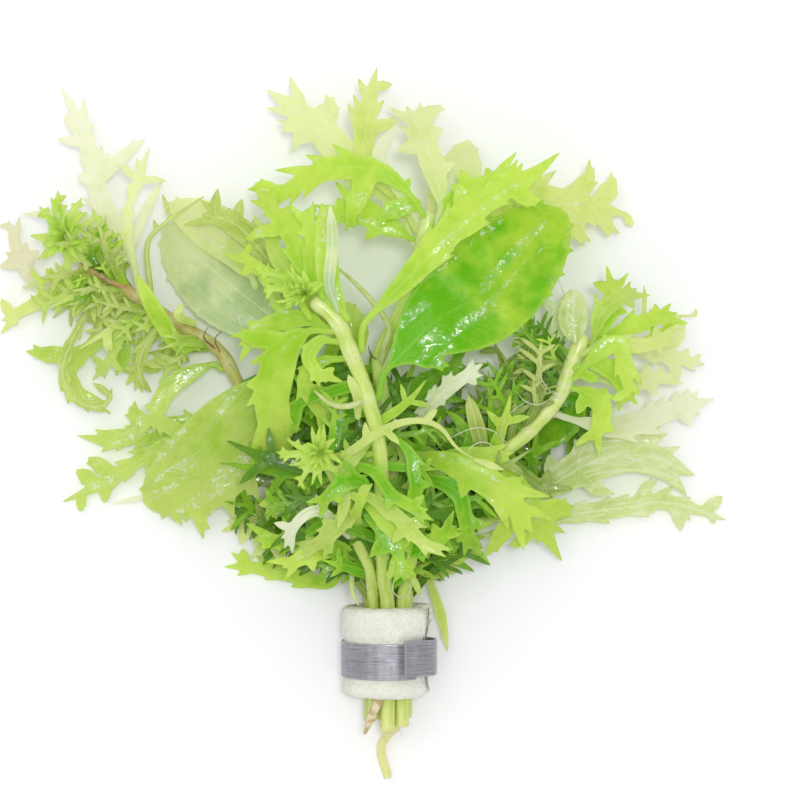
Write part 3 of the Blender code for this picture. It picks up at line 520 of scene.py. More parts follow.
LEAVES = [
    Leaf("leaf_top_left", "stem_2", Form.LOBED,
         [(9.5, 117), (2, 130.5), (-8.5, 138.5), (-19.5, 151), (-34.5, 163)], 6.0, Leafage.PALE, 2.3,
         [(-30, 150.5), (-27, 146.5), (-24.5, 162), (-18.5, 158), (-16.5, 154.5), (-15, 160, 2.8)], side=-1),
    Leaf("leaf_top_folded", "stem_2", Form.LOBED,
         [(10.5, 121.5), (2, 131.5), (-6, 141), (-5.5, 154.5), (-3, 169)], 3.8, Leafage.YELLOW, 1.8,
         [(1.5, 163.5), (-7.5, 157.5), (3, 152.5)]),
    Leaf("leaf_top_centre", "stem_2", Form.LOBED,
         [(12, 124.5), (14.5, 130), (11, 144), (5, 158)], 4.3, Leafage.PALE, 2.3,
         [(11.5, 157), (15, 157.5), (15.5, 150.5), (2.5, 144), (18.5, 140)], side=1),
    Leaf("leaf_top_back", "stem_2", Form.OVATE,
         [(11.5, 121), (18.5, 133), (23, 148.5)], 7, Leafage.PALE),
    Leaf("leaf_top_arched", "stem_2", Form.LOBED,
         [(11.5, 126), (5, 132), (-2, 137), (-14.5, 138.5), (-26, 133.5), (-32.5, 127.5)], 4, Leafage.BRIGHT,
         2.7, [(-11.5, 121), (-9.5, 129), (-3, 124.5), (-37, 135), (6, 135.5)], side=1),
    Leaf("leaf_upright", "stem_1", Form.STRIP,
         [(-13, 97), (-15, 104.5), (-16.5, 115.5), (-17.5, 128.5)], 3.2, Leafage.BRIGHT, 1.6,
         [(-14.5, 127), (-13, 117)], side=1),
    Leaf("leaf_fine_top", "stem_1", Form.LOBED,
         [(-18.5, 101), (-22.5, 110), (-25.5, 118), (-31.5, 127), (-37, 134)], 3, Leafage.BRIGHT, 1.7,
         [(-39.5, 118.5), (-26, 128), (-23.5, 126.5), (-18.5, 128.5), (-34, 125), (-34, 119.5)], side=-1),
    Leaf("leaf_long_right", "stem_1", Form.LOBED,
         [(-9.5, 88.5), (-6.5, 95), (-2, 100), (6, 108), (16.5, 120), (27.5, 129.5), (38.5, 135.5),
          (47.5, 143)],
         5, Leafage.BRIGHT, 2.6, [(19, 133.5), (23.5, 134), (30, 136), (34, 134), (40.5, 127.5)]),
    Leaf("leaf_broad_right", "stem_1", Form.SERRATE,
         [(-6, 75.5), (-1, 82), (3, 86.5), (13.5, 96.5), (24.5, 103), (33.5, 112), (42, 120.5),
          (48.5, 126.5)],
         14, Leafage.BROAD, 2.5, [(17, 84), (30, 91, 3), (24, 89.5, 2)], widest=0.56),
    Leaf("leaf_right_top", "stem_2", Form.LOBED,
         [(10.5, 117), (22.5, 125), (37, 130.5), (52.5, 129.5), (69, 127.5)], 5.5, Leafage.YELLOW, 2.8,
         [(58, 140.5), (64.5, 138), (69.5, 124), (62.5, 121), (54.5, 118), (52.5, 136)], side=-1),
    Leaf("leaf_pale_upright", "stem_3", Form.LOBED,
         [(47, 77), (45.3, 83), (45.5, 93), (46.5, 103)], 4, Leafage.SILVER, 2.6,
         [(41.5, 97), (40.5, 90.5), (42, 83.5), (50, 94.5)]),
    Leaf("leaf_folded_right", "stem_3", Form.LOBED,
         [(54.5, 93), (59, 95.5), (61.5, 101.5), (63.5, 109)], 3.6, Leafage.BRIGHT, 2.2,
         [(56.5, 107.5), (66, 99)], side=1),
    Leaf("leaf_needle_right", "stem_3", Form.FINE,
         [(53.5, 90.5), (63, 94), (75, 98), (88.5, 99)], 1.2, Leafage.YELLOW, 0.7,
         [(87, 101), (71.5, 108), (73.5, 101), (78.5, 95)], side=-1),
    Leaf("leaf_pale_right", "stem_3", Form.LOBED,
         [(51.5, 86), (60, 89.5), (68, 90.5), (79, 87.5), (90.5, 85)], 3.2, Leafage.PALE, 2.2,
         [(85, 90), (88.5, 88.5), (81.5, 80), (84, 98)], side=-1),
    Leaf("leaf_pale_low_right", "stem_3", Form.LOBED,
         [(45, 72.5), (54, 69), (65, 67.5), (79.5, 72), (93.5, 75.5)], 4.3, Leafage.FADED, 2.2,
         [(82, 78), (85, 78.5), (86, 67.5), (74, 75.5)], side=-1),
    Leaf("leaf_hanging_right", "stem_3", Form.LOBED,
         [(50, 83), (56, 86.5), (63, 90.5), (65, 83.5), (66.5, 75)], 3.2, Leafage.BRIGHT, 1.7,
         [(61.5, 75), (58, 80), (67, 88)], side=1),
    Leaf("leaf_bright_right", "stem_3", Form.LOBED,
         [(48.5, 79.5), (54, 77.5), (59, 73.5), (58.5, 68), (56.5, 63.5)], 3.7, Leafage.BRIGHT, 2.2,
         [(52, 71), (63, 66.5), (61, 78.5)]),
    Leaf("leaf_dark_right", "stem_3", Form.OVATE,
         [(47, 76), (51.5, 74), (48.5, 68.5), (41, 62)], 4.8, Leafage.DARK, side=-1),
    Leaf("leaf_striped_right", "stem_6", Form.LOBED,
         [(34, 43.5), (44.5, 50.5), (57, 57.5), (71.5, 59.5), (87.5, 53.5)], 7.0, Leafage.STRIPED, 2.7,
         [(45, 60), (54, 65), (73, 65), (78, 59.5), (61, 47.5)]),
    Leaf("leaf_long_low", "stem_6", Form.LOBED,
         [(26, 39.5), (44.5, 41.5), (66, 44.5), (80, 46), (97.5, 40.5)], 3.4, Leafage.STRIPED, 1.8,
         [(75, 53), (83.5, 37.5), (95.5, 48), (93, 39.5), (63, 48)]),
    Leaf("leaf_bright_low_right", "stem_2", Form.LOBED,
         [(1, 56.5), (8.5, 57.5), (19.5, 59.5), (29.5, 57.5), (36.5, 49), (43.5, 38.5), (49.5, 29)],
         4.8, Leafage.BRIGHT, 2.6, [(52, 45.5, 3.5), (26, 30.5), (35, 33.5), (16, 51.5)]),
    Leaf("leaf_thin_arched", "stem_5", Form.FINE,
         [(-16.5, 58.5), (-11, 60.5), (-3, 66), (3.5, 69), (9.5, 69.5), (14.5, 67.5), (19, 62), (26.5, 57.5)],
         1.2, Leafage.YELLOW, 1, [(-6, 69.5), (3.5, 63), (13.5, 73), (32, 56)], frill=0.4),
    Leaf("leaf_silver", "stem_2", Form.LOBED,
         [(0, 67), (8, 70.5), (14.5, 76.5), (26.5, 85.5)], 2.7, Leafage.SILVER, 1.6,
         [(11, 78), (15, 82), (24.5, 79), (16, 73.5)]),
    Leaf("leaf_dark_centre", "stem_2", Form.LOBED,
         [(-0.5, 74.5), (5.5, 75.5), (13.5, 79), (21, 85.5)], 6.5, Leafage.DARK, 2.5, [(9, 83), (16, 69.5)]),
    Leaf("leaf_narrow_right", "stem_3", Form.STRIP,
         [(28, 57.5), (25.5, 64), (22, 76.5)], 2.2, Leafage.OLIVE),
    Leaf("leaf_fine_right", "stem_3", Form.FINE,
         [(39, 67), (35.5, 75), (32, 85), (29.5, 92.5)], 1.5, Leafage.SHADED, 1.1,
         [(25.5, 88.5), (24.5, 79.5), (27, 72.5), (39.5, 88.5), (43.5, 83), (43.5, 75.5)]),
    Leaf("leaf_bright_left", "stem_1", Form.LOBED,
         [(-13, 95), (-21, 93.5), (-27.5, 88.5), (-31.5, 75), (-31, 57)], 6.5, Leafage.BRIGHT, 2.6,
         [(-41, 92.5), (-35, 64), (-23.5, 67), (-38.5, 79)]),
    Leaf("leaf_left_narrow", "stem_1", Form.LOBED,
         [(-10, 87), (-17.5, 85.5), (-22.5, 80.5), (-19.5, 73.5), (-15, 67.5)], 2.8, Leafage.BRIGHT, 2.1,
         [(-16.5, 79)], side=-1),
    Leaf("leaf_broad_left", "stem_8", Form.SERRATE,
         [(-23, 89), (-31, 81), (-38, 72.5), (-51, 57), (-68.5, 46)], 12.5, Leafage.GREEN, 2.7,
         [(-60, 40.5), (-52, 35.5), (-43, 41), (-35.5, 46)], widest=0.56),
    Leaf("leaf_left_branch", "stem_4", Form.LOBED,
         [(-45, 86), (-50, 85), (-59.5, 80), (-64.5, 73.5), (-66, 66)], 3.6, Leafage.GREEN, 2.4,
         [(-54.5, 65), (-68.5, 73.5)]),
    Leaf("leaf_left_dark", "stem_7", Form.LOBED,
         [(-41, 61), (-54.5, 68), (-67.5, 66.5), (-77.5, 63.5), (-89, 65)], 3.4, Leafage.GREEN, 2.4,
         [(-73.5, 73.5), (-79.5, 66.5), (-77, 60.5), (-67.5, 72.5), (-63, 62.5)]),
    Leaf("leaf_left_low", "stem_7", Form.LOBED,
         [(-35.5, 54), (-46, 62.5), (-59, 64), (-73, 56.5), (-83, 50.5), (-94, 45.5)], 2.6, Leafage.GREEN,
         2.3, [(-85.5, 59), (-89, 55.5), (-87.5, 43), (-80.5, 45.5)]),
    Leaf("leaf_low", "stem_7", Form.LOBED,
         [(-10.5, 30.5), (-16.5, 23), (-28, 25.5), (-39.5, 27.5), (-47, 27.5)], 2.8, Leafage.BRIGHT, 2.5,
         [(-41.5, 33), (-33.5, 33)]),
    Leaf("leaf_low_yellow", "stem_4", Form.LOBED,
         [(-18.5, 46), (-27.5, 43.5), (-35.5, 40.5), (-46, 41)], 2.9, Leafage.YELLOW, 2.6,
         [(-41.5, 34), (-36, 31), (-30, 28.5), (-24.5, 32.5)]),
    Leaf("leaf_white_underside", "stem_5", Form.LOBED,
         [(-12.5, 48.5), (-21.5, 51.5), (-25, 43), (-29, 33)], 2.2, Leafage.SILVER, 1.6,
         [(-19, 41), (-31, 44), (-24, 51)]),
    Leaf("leaf_centre_low", "stem_5", Form.LOBED,
         [(-12, 46.5), (-5, 46), (2, 39.5), (9.5, 34), (17.5, 30.5)], 2.7, Leafage.BRIGHT, 1.7,
         [(-0.5, 25), (4.5, 25.5), (11.5, 37.5), (22, 30)]),
    Leaf("leaf_low_right_pale", "stem_6", Form.LOBED,
         [(8.5, 28), (13, 26), (18.5, 28.5), (23, 32.5)], 2.8, Leafage.YELLOW, 2,
         [(12.5, 25.5), (19, 25.5), (17, 2.5, 1.5)]),
    Leaf("leaf_broad_grey", "stem_8", Form.SERRATE,
         [(-26.5, 94), (-31, 97), (-43, 106.5), (-54.5, 116), (-63.5, 124)], 12.5, Leafage.GREY, side=-1),
    Leaf("leaf_broad_back", "stem_8", Form.OVATE,
         [(-34, 109), (-41.5, 118), (-52, 125.5), (-63, 131)], 7, Leafage.PALE),
    Leaf("leaf_olive", "stem_8", Form.LOBED,
         [(-34.5, 110), (-36, 117.5), (-42.5, 124), (-52.5, 127.5)], 4, Leafage.OLIVE, 1.6,
         [(-40.5, 131.5), (-44, 129), (-47.5, 134.5)]),
    Leaf("leaf_sprig_tall", "stem_4", Form.LOBED,
         [(-70.5, 104.5), (-71.5, 115), (-75, 123), (-80, 130), (-83, 141.5), (-87, 153), (-93, 164.5)],
         3.4, Leafage.FADED, 1.5,
         [(-87.5, 138), (-93.5, 148.5), (-83, 153.5), (-77.5, 144.5), (-68, 149, 2), (-62.5, 138),
          (-104, 127.5, 2), (-82, 116)], side=1),
    Leaf("leaf_sprig_thin", "stem_4", Form.FINE,
         [(-68, 102.5), (-67.5, 118.5), (-63.5, 124), (-57.5, 128.5), (-48, 135)], 0.8, Leafage.OLIVE, 0.6,
         [(-66, 126), (-64, 134)], frill=0.4),
    Leaf("leaf_sprig_pink", "stem_4", Form.LOBED,
         [(-87, 112.5), (-93.5, 109), (-98.5, 108), (-104, 116), (-108, 126.5)], 2.8, Leafage.PINK, 1.7,
         [(-110.5, 124.5), (-110, 112.5), (-98.5, 117.5)]),
    Leaf("leaf_sprig_yellow", "stem_4", Form.LOBED,
         [(-85, 111.5), (-94, 106), (-101.5, 101.5), (-110.5, 97.5)], 2.5, Leafage.YELLOW, 1.6,
         [(-105.5, 96), (-110, 104), (-96.5, 112.5)], side=-1),
    Leaf("leaf_sprig_curled", "stem_4", Form.LOBED,
         [(-65.5, 100.5), (-74, 95), (-83, 91), (-90, 83), (-86.5, 76), (-78.5, 71)], 2.5, Leafage.GREEN,
         2.5, [(-103, 89), (-79, 71.5), (-74.5, 83), (-93, 77.5)], side=-1),
    Leaf("leaf_sprig_hanging", "stem_4", Form.LOBED,
         [(-61, 98), (-64.5, 94), (-69.5, 90), (-72, 79.5)], 2.3, Leafage.GREEN, 1.7,
         [(-64, 83.5), (-69.5, 81.5), (-76, 84)]),
    Leaf("leaf_sprig_front", "stem_4", Form.STRIP,
         [(-53, 92.5), (-58.5, 90.5), (-65, 100.5), (-70, 110.5)], 2.5, Leafage.BRIGHT, 1.5,
         [(-52.5, 88.5)], side=1),
]

ROSETTES = [
    Rosette("shoot_tip_left", "stem_1", (-22, 103.5),
            [(-37, 111.5, 1.5), (-34, 109, 1.5), (-31, 107, 1.5), (-16.5, 106.5, 1.5), (-22.5, 110, 2),
             (-25.5, 112, 1.5), (-27.5, 99, 1.5)], Leafage.BRIGHT, Leafage.BRIGHT),
    Rosette("shoot_tip_centre", "stem_5", (-18, 61),
            [(-27.5, 65, 1.5), (-27, 57.5, 1.5), (-24.5, 51, 1.5), (-20.5, 68.5, 1.5), (-17, 69, 1.5),
             (-13.5, 65, 1.5), (-11.5, 54, 1.5), (-17.5, 51.5, 1.5), (-31, 61, 1.5)],
            Leafage.BRIGHT, Leafage.BRIGHT),
    Rosette("shoot_tip_sprig", "stem_4", (-90, 120),
            [(-92, 134, 2.5), (-85, 132, 2), (-78.5, 127, 1.5), (-77, 120, 1.5), (-81.5, 112, 2),
             (-90, 107.5, 2), (-98, 113.5, 2), (-100, 121, 2.5), (-97.5, 129.5, 2)],
            Leafage.GREEN, Leafage.BRIGHT),
]


def smooth_line(points: list | np.ndarray, count: int) -> np.ndarray:
    """Evenly spaced points on a smooth curve through the given ones.

    Args:
        points: The points that the curve runs through.
        count: How many points to return.

    Returns:
        The points, one a row.
    """
    given = np.array(points, float)
    ends = np.vstack([2 * given[0] - given[1], given, 2 * given[-1] - given[-2]])
    fine = []
    for a, b, c, d in zip(ends, ends[1:], ends[2:], ends[3:]):
        for t in np.linspace(0, 1, 12, endpoint=False):
            square = (2 * a - 5 * b + 4 * c - d) * t**2
            cube = (3 * b - 3 * c + d - a) * t**3
            fine.append(0.5 * (2 * b + (c - a) * t + square + cube))
    fine.append(given[-1])
    fine = np.array(fine)
    along = np.concatenate([[0], np.cumsum(np.linalg.norm(np.diff(fine, axis=0), axis=1))])
    wanted = np.linspace(0, along[-1], count)
    return np.array([np.interp(wanted, along, fine[:, k]) for k in range(fine.shape[1])]).T


def run_length(line: np.ndarray) -> float:
    """The length of a line of points."""
    return float(np.linalg.norm(np.diff(line, axis=0), axis=1).sum())


def pointing(turn: float) -> np.ndarray:
    """The direction from above at an angle in radians."""
    return np.array([math.cos(turn), math.sin(turn)])


def from_step(spots: np.ndarray, a: np.ndarray, b: np.ndarray) -> tuple[np.ndarray, np.ndarray]:
    """Where spots lie beside a straight step.

    Args:
        spots: Points seen from above.
        a: Start of the step.
        b: End of the step.

    Returns:
        The share of the step that each spot is nearest to, and its distance from there.
    """
    step = b - a
    share = np.clip(((spots - a) @ step) / max(step @ step, 1e-9), 0, 1)
    return share, np.sqrt(((spots - a - share[:, None] * step) ** 2).sum(axis=1))


def smooth_step(values: np.ndarray, low: float, high: float) -> np.ndarray:
    """A smooth rise from 0 at low to 1 at high."""
    share = np.clip((values - low) / (high - low), 0, 1)
    return share * share * (3 - 2 * share)


class StemLine:
    """A stem's middle line, sampled closely, with its radius."""

    def __init__(self, stem: Stem) -> None:
        """Args:
            stem: The stem's entry in the table.
        """
        self.name = stem.name
        self.radius = stem.radius
        self.line = smooth_line(stem.points, 240)

    def nearest(self, spot: np.ndarray) -> tuple[np.ndarray, np.ndarray]:
        """Finds the sample nearest to a spot seen from above.

        Args:
            spot: The spot.

        Returns:
            The sample and the direction of the stem there.
        """
        index = int(np.argmin(np.linalg.norm(self.line[:, :2] - spot, axis=1)))
        ahead = self.line[min(index + 2, len(self.line) - 1)] - self.line[max(index - 2, 0)]
        return self.line[index], ahead / np.linalg.norm(ahead)


@dataclass
class Bone:
    """A vein that carries tissue to both sides: its line from above and its half widths.

    Attributes:
        line: Points along the vein.
        halves: The half width of the tissue at each point.
        order: 0 for the midrib, 1 for a lobe's vein, 2 for a tooth or a thin side vein.
        fleshy: False for a vein that only shows, with no tissue of its own.
    """

    line: np.ndarray
    halves: np.ndarray
    order: int
    fleshy: bool = True

    def spot(self, share: float) -> np.ndarray:
        """The point at a share of the vein."""
        steps = np.linspace(0, 1, len(self.line))
        return np.array([np.interp(share, steps, self.line[:, k]) for k in (0, 1)])

    def half(self, share: float) -> float:
        """The half width at a share of the vein."""
        return float(np.interp(share, np.linspace(0, 1, len(self.line)), self.halves))

    def ways(self, share: float, later: float, side: float) -> tuple[np.ndarray, np.ndarray]:
        """Directions at a share of the vein.

        Args:
            share: The share.
            later: A share a little further on.
            side: 1 for its right, -1 for its left.

        Returns:
            The direction ahead and the one out to that side.
        """
        step = self.spot(later) - self.spot(share)
        heading = step / max(np.linalg.norm(step), 1e-6)
        return heading, np.array([heading[1], -heading[0]]) * side


class Blade:
    """The cut outline and the veins of one leaf, seen from above."""

    SOFTNESS = 0.55
    CELL = 0.34
    SHARES = np.linspace(0, 1, 9)

    # Half widths along a branch, as shares of its length and of its size
    LOBE = ([0, 0.25, 0.5, 0.72, 0.88, 1.0], [0.56, 0.86, 1.0, 0.66, 0.27, 0.0])
    SIDE_LOBE = ([0, 0.5, 0.75, 1.0], [0.8, 1.0, 0.55, 0.0])
    TOOTH = ([0, 0.45, 0.75, 1.0], [0.5, 0.55, 0.25, 0.0])
    SIDE_VEIN = ([0, 0.55, 0.8, 1.0], [0.0, 0.1, 0.8, 0.0])

    def __init__(self, leaf: Leaf, line: np.ndarray, seed: int) -> None:
        """Args:
            leaf: The leaf's entry in the table.
            line: Its midrib, closely sampled, from the stem to the tip.
            seed: The seed of its small irregularities.
        """
        self.leaf = leaf
        self.line = line
        self.length = run_length(line)
        self.dice = np.random.default_rng(seed)
        shares = np.linspace(0, 1, 25)
        spine = smooth_line(line, 25)
        self.bones = [Bone(spine, self.halves(shares), 0)]
        for tip_x, tip_y, *own in leaf.lobes:
            self.add_lobe(np.array([tip_x, tip_y], float), own[0] if own else leaf.lobe_half)
        if leaf.form in (Form.SERRATE, Form.OVATE):
            self.add_side_veins()
        elif leaf.form is Form.LOBED:
            self.add_side_lobes()

    def halves(self, shares: np.ndarray) -> np.ndarray:
        """Half widths of the main blade.

        Args:
            shares: Shares of the length.

        Returns:
            The half width at each.
        """
        leaf = self.leaf
        start, power = leaf.form.value
        body = np.clip((shares - start) / (1 - start), 0, 1)
        if leaf.form is Form.FINE:
            return leaf.half * np.clip(1.4 * (1 - body), 0, 1) ** 0.8
        swell = np.sin(math.pi * body ** (math.log(0.5) / math.log(leaf.widest))) ** power
        neck = np.clip((1 - body) * 5, 0, 1)
        broad = leaf.half * 0.76 if leaf.form is Form.LOBED else leaf.half
        return PETIOLE_HALF * neck + (broad - PETIOLE_HALF) * np.where(body < 1, swell, 0.0)

    def branch(self, ends: tuple[np.ndarray, np.ndarray], heading: np.ndarray, profile: tuple, size: float,
               order: int) -> Bone:
        """Adds a bone that leaves a foot nearly along the vein it grows from and turns out to its tip.

        Args:
            ends: Its foot and its tip.
            heading: The direction of the vein at its foot.
            profile: Its half widths, by share of its length.
            size: What the profile is multiplied by, in millimetres.
            order: 1 for a lobe and 2 for a tooth or a side vein.

        Returns:
            The bone.
        """
        foot, end = ends
        reach = np.linalg.norm(end - foot)
        middle = foot + (end - foot) * 0.5 + heading * reach * 0.09
        t = self.SHARES[:, None]
        line = (1 - t) ** 2 * foot + 2 * t * (1 - t) * middle + t**2 * end
        bone = Bone(line, size * np.interp(self.SHARES, *profile), order)
        self.bones.append(bone)
        return bone

    def add_lobe(self, end: np.ndarray, half: float) -> None:
        """Adds a lobe that leaves the midrib behind its tip, with a tooth or two of its own.

        Args:
            end: The lobe's tip.
            half: Its half width.
        """
        away = np.linalg.norm(self.line - end, axis=1)
        index = int(away.argmin())
        pace = np.linalg.norm(self.line[1] - self.line[0])
        foot = max(int(index - 0.6 * away[index] / pace), 2)
        heading = self.line[min(foot + 1, len(self.line) - 1)] - self.line[foot - 1]
        heading /= np.linalg.norm(heading)
        length = float(np.linalg.norm(end - self.line[foot]))
        half = min(half, 0.26 * length)
        lobe = self.branch((self.line[foot], end), heading, self.LOBE, half, 1)
        if length > 9 and half > 1.3:
            self.add_teeth(lobe, 0.38, 0.64, 2, half * 0.6)

    def add_teeth(self, parent: Bone, low: float, high: float, count: int, size: float) -> None:
        """Adds small pointed teeth along a bone, to one side and the other by turns.

        Args:
            parent: The bone they grow from.
            low: Share of its length where they start.
            high: Share where they end.
            count: How many there are.
            size: How far they stand out past the bone's own margin.
        """
        side = 1.0 if self.dice.random() < 0.5 else -1.0
        shares = np.linspace(low, high, count) + self.dice.uniform(-0.04, 0.04, count)
        for share in shares:
            side = -side
            foot = parent.spot(share)
            heading, across = parent.ways(share, min(share + 0.06, 1), side)
            reach = parent.half(share) + size * self.dice.uniform(0.5, 1.0)
            end = foot + across * reach * 0.75 + heading * reach * self.dice.uniform(1.0, 1.6)
            self.branch((foot, end), heading, self.TOOTH, size, 2)

    def add_side_lobes(self) -> None:
        """Adds narrow pointed lobes on both sides of the midrib, between those of the table."""
        spine = self.bones[0]
        tips = [bone.line[-1] for bone in self.bones[1:]]
        for share in np.linspace(0.30, 0.76, max(int(self.length / 10), 2)):
            for side in (1.0, -1.0):
                at = share + self.dice.uniform(-0.04, 0.04)
                foot = spine.spot(at)
                heading, across = spine.ways(at, at + 0.06, side)
                reach = spine.half(at) + (self.leaf.half + 1.0) * self.dice.uniform(0.4, 0.95)
                end = foot + across * reach * 0.72 + heading * reach * self.dice.uniform(1.2, 1.9)
                if all(np.linalg.norm(tip - end) >= 2.6 for tip in tips):
                    self.branch((foot, end), heading, self.SIDE_LOBE, 0.35 + 0.13 * reach, 1)

    def add_side_veins(self) -> None:
        """Adds the side veins of a broad blade, each ending in a forward tooth of its margin."""
        spine = self.bones[0]
        serrate = self.leaf.form is Form.SERRATE
        for share in np.linspace(0.2, 0.93, 9 if serrate else 6):
            for side in (1.0, -1.0):
                at = min(share + (0.02 if side > 0 else -0.02), 0.96)
                later = min(at + 0.16, 1.0)
                heading, across = spine.ways(at, later, side)
                tooth = 1.5 if serrate else 0.7
                out = spine.half(min(at + 0.10, 1.0)) + tooth * self.dice.uniform(0.4, 1.0)
                end = spine.spot(later) + across * out
                self.branch((spine.spot(at), end), heading, self.SIDE_VEIN, tooth, 2)

    def reach(self, spots: np.ndarray, bones: list[Bone]) -> np.ndarray:
        """Signed distance from spots to the margin of some bones' tissue, joined softly.

        Args:
            spots: Points seen from above.
            bones: The bones.

        Returns:
            The distance, below zero inside.
        """
        total = np.full(len(spots), 1e3)
        for bone in bones:
            near = np.full(len(spots), 1e3)
            for a, b, one, two in zip(bone.line, bone.line[1:], bone.halves, bone.halves[1:]):
                share, away = from_step(spots, a, b)
                near = np.minimum(near, away - (one + (two - one) * share))
            blend = np.clip(0.5 + 0.5 * (near - total) / self.SOFTNESS, 0, 1)
            total = near + (total - near) * blend - self.SOFTNESS * blend * (1 - blend)
            total = np.minimum(total, 1e3)
        return total

    def outlines(self) -> list[np.ndarray]:
        """Follows the margin: the outer outline first, then any gap that the lobes close off.

        Returns:
            Closed loops of points.
        """
        bones = [bone for bone in self.bones if bone.fleshy]
        everything = np.vstack([bone.line for bone in bones])
        widest = max(bone.halves.max() for bone in bones) + 2 * self.CELL
        low = everything.min(axis=0) - widest
        count = np.ceil((everything.max(axis=0) + widest - low) / self.CELL).astype(int) + 1
        xs = low[0] + self.CELL * np.arange(count[0])
        ys = low[1] + self.CELL * np.arange(count[1])
        across, up = np.meshgrid(xs, ys, indexing="ij")
        depths = self.reach(np.stack([across.ravel(), up.ravel()], axis=1), bones).reshape(count)
        return trace_loops(depths, xs, ys)


def trace_loops(values: np.ndarray, xs: np.ndarray, ys: np.ndarray) -> list[np.ndarray]:
    """Contours of a grid at zero, by marching squares.

    Args:
        values: The grid, below zero inside.
        xs: The grid's first coordinates.
        ys: Its second coordinates.

    Returns:
        The closed loops, the longest first.
    """
    inside = values < 0
    mixed = inside[:-1, :-1] + 0 + inside[1:, :-1] + inside[1:, 1:] + inside[:-1, 1:]
    following = {}
    spots = {}

    def crossing(i: int, j: int, k: int, m: int) -> tuple:
        """The point where the contour crosses the grid line between two grid points."""
        key = (min(i, k), min(j, m), 0 if j == m else 1)
        if key not in spots:
            one, two = values[i, j], values[k, m]
            t = one / (one - two)
            spots[key] = (xs[i] + (xs[k] - xs[i]) * t, ys[j] + (ys[m] - ys[j]) * t)
        return key

    for i, j in np.argwhere((mixed > 0) & (mixed < 4)):
        corners = [(i, j), (i + 1, j), (i + 1, j + 1), (i, j + 1)]
        starts, ends = [], []
        for a, b in zip(corners, corners[1:] + corners[:1]):
            if inside[a] and not inside[b]:
                starts.append(crossing(*a, *b))
            elif inside[b] and not inside[a]:
                ends.append(crossing(*a, *b))
        if len(starts) == 2:
            ends = ends[::-1] if values[i, j] + values[i + 1, j + 1] < 0 else ends
        for start, end in zip(starts, ends):
            following.setdefault(start, []).append(end)
    loops = []
    while following:
        start = next(iter(following))
        loop = [start]
        while loop[-1] in following:
            after = following[loop[-1]].pop()
            if not following[loop[-1]]:
                del following[loop[-1]]
            if after == start:
                break
            loop.append(after)
        if len(loop) > 8:
            loops.append(np.array([spots[key] for key in loop]))
    return sorted(loops, key=len, reverse=True)


def even_loop(loop: np.ndarray, spacing: float) -> np.ndarray:
    """A closed loop thinned to about even spacing, with its sharp tips kept.

    Args:
        loop: The loop's points.
        spacing: The spacing wanted.

    Returns:
        The thinned loop.
    """
    before = np.roll(loop, 3, axis=0) - loop
    after = np.roll(loop, -3, axis=0) - loop
    before /= np.linalg.norm(before, axis=1)[:, None] + 1e-9
    after /= np.linalg.norm(after, axis=1)[:, None] + 1e-9
    turn = (before * after).sum(axis=1)
    kept = [0]
    for index in range(1, len(loop)):
        gap = np.linalg.norm(loop[index] - loop[kept[-1]])
        peak = turn[index] > 0.2 and turn[index] >= turn[max(index - 2, 0):index + 3].max()
        if gap > spacing or (peak and gap > 0.3 * spacing):
            kept.append(index)
    while len(kept) > 3 and np.linalg.norm(loop[kept[-1]] - loop[0]) < 0.3 * spacing:
        kept.pop()
    return loop[kept]


def to_margin(spots: np.ndarray, loops: list[np.ndarray]) -> np.ndarray:
    """Distance from spots to the nearest outline.

    Args:
        spots: Points seen from above.
        loops: Closed loops.

    Returns:
        The distances.
    """
    nearest = np.full(len(spots), 1e3)
    for loop in loops:
        after = np.roll(loop, -1, axis=0)
        for first in range(0, len(loop), 128):
            a = loop[None, first:first + 128]
            step = after[None, first:first + 128] - a
            gap = spots[:, None] - a
            t = np.clip((gap * step).sum(-1) / np.maximum((step**2).sum(-1), 1e-12), 0, 1)
            away = np.sqrt(((gap - step * t[..., None]) ** 2).sum(-1)).min(axis=1)
            nearest = np.minimum(nearest, away)
    return nearest


def within(spots: np.ndarray, loops: list[np.ndarray]) -> np.ndarray:
    """Which spots lie inside the outer loop and outside its gaps.

    Args:
        spots: Points seen from above.
        loops: Closed loops.

    Returns:
        True for each spot inside.
    """
    hits = np.zeros(len(spots), int)
    for loop in loops:
        after = np.roll(loop, -1, axis=0)
        for a, b in zip(loop, after):
            crosses = (a[1] > spots[:, 1]) != (b[1] > spots[:, 1])
            slope = (b[0] - a[0]) / (b[1] - a[1]) if abs(b[1] - a[1]) > 1e-12 else 0.0
            hits += crosses & (spots[:, 0] < a[0] + (spots[:, 1] - a[1]) * slope)
    return hits % 2 == 1


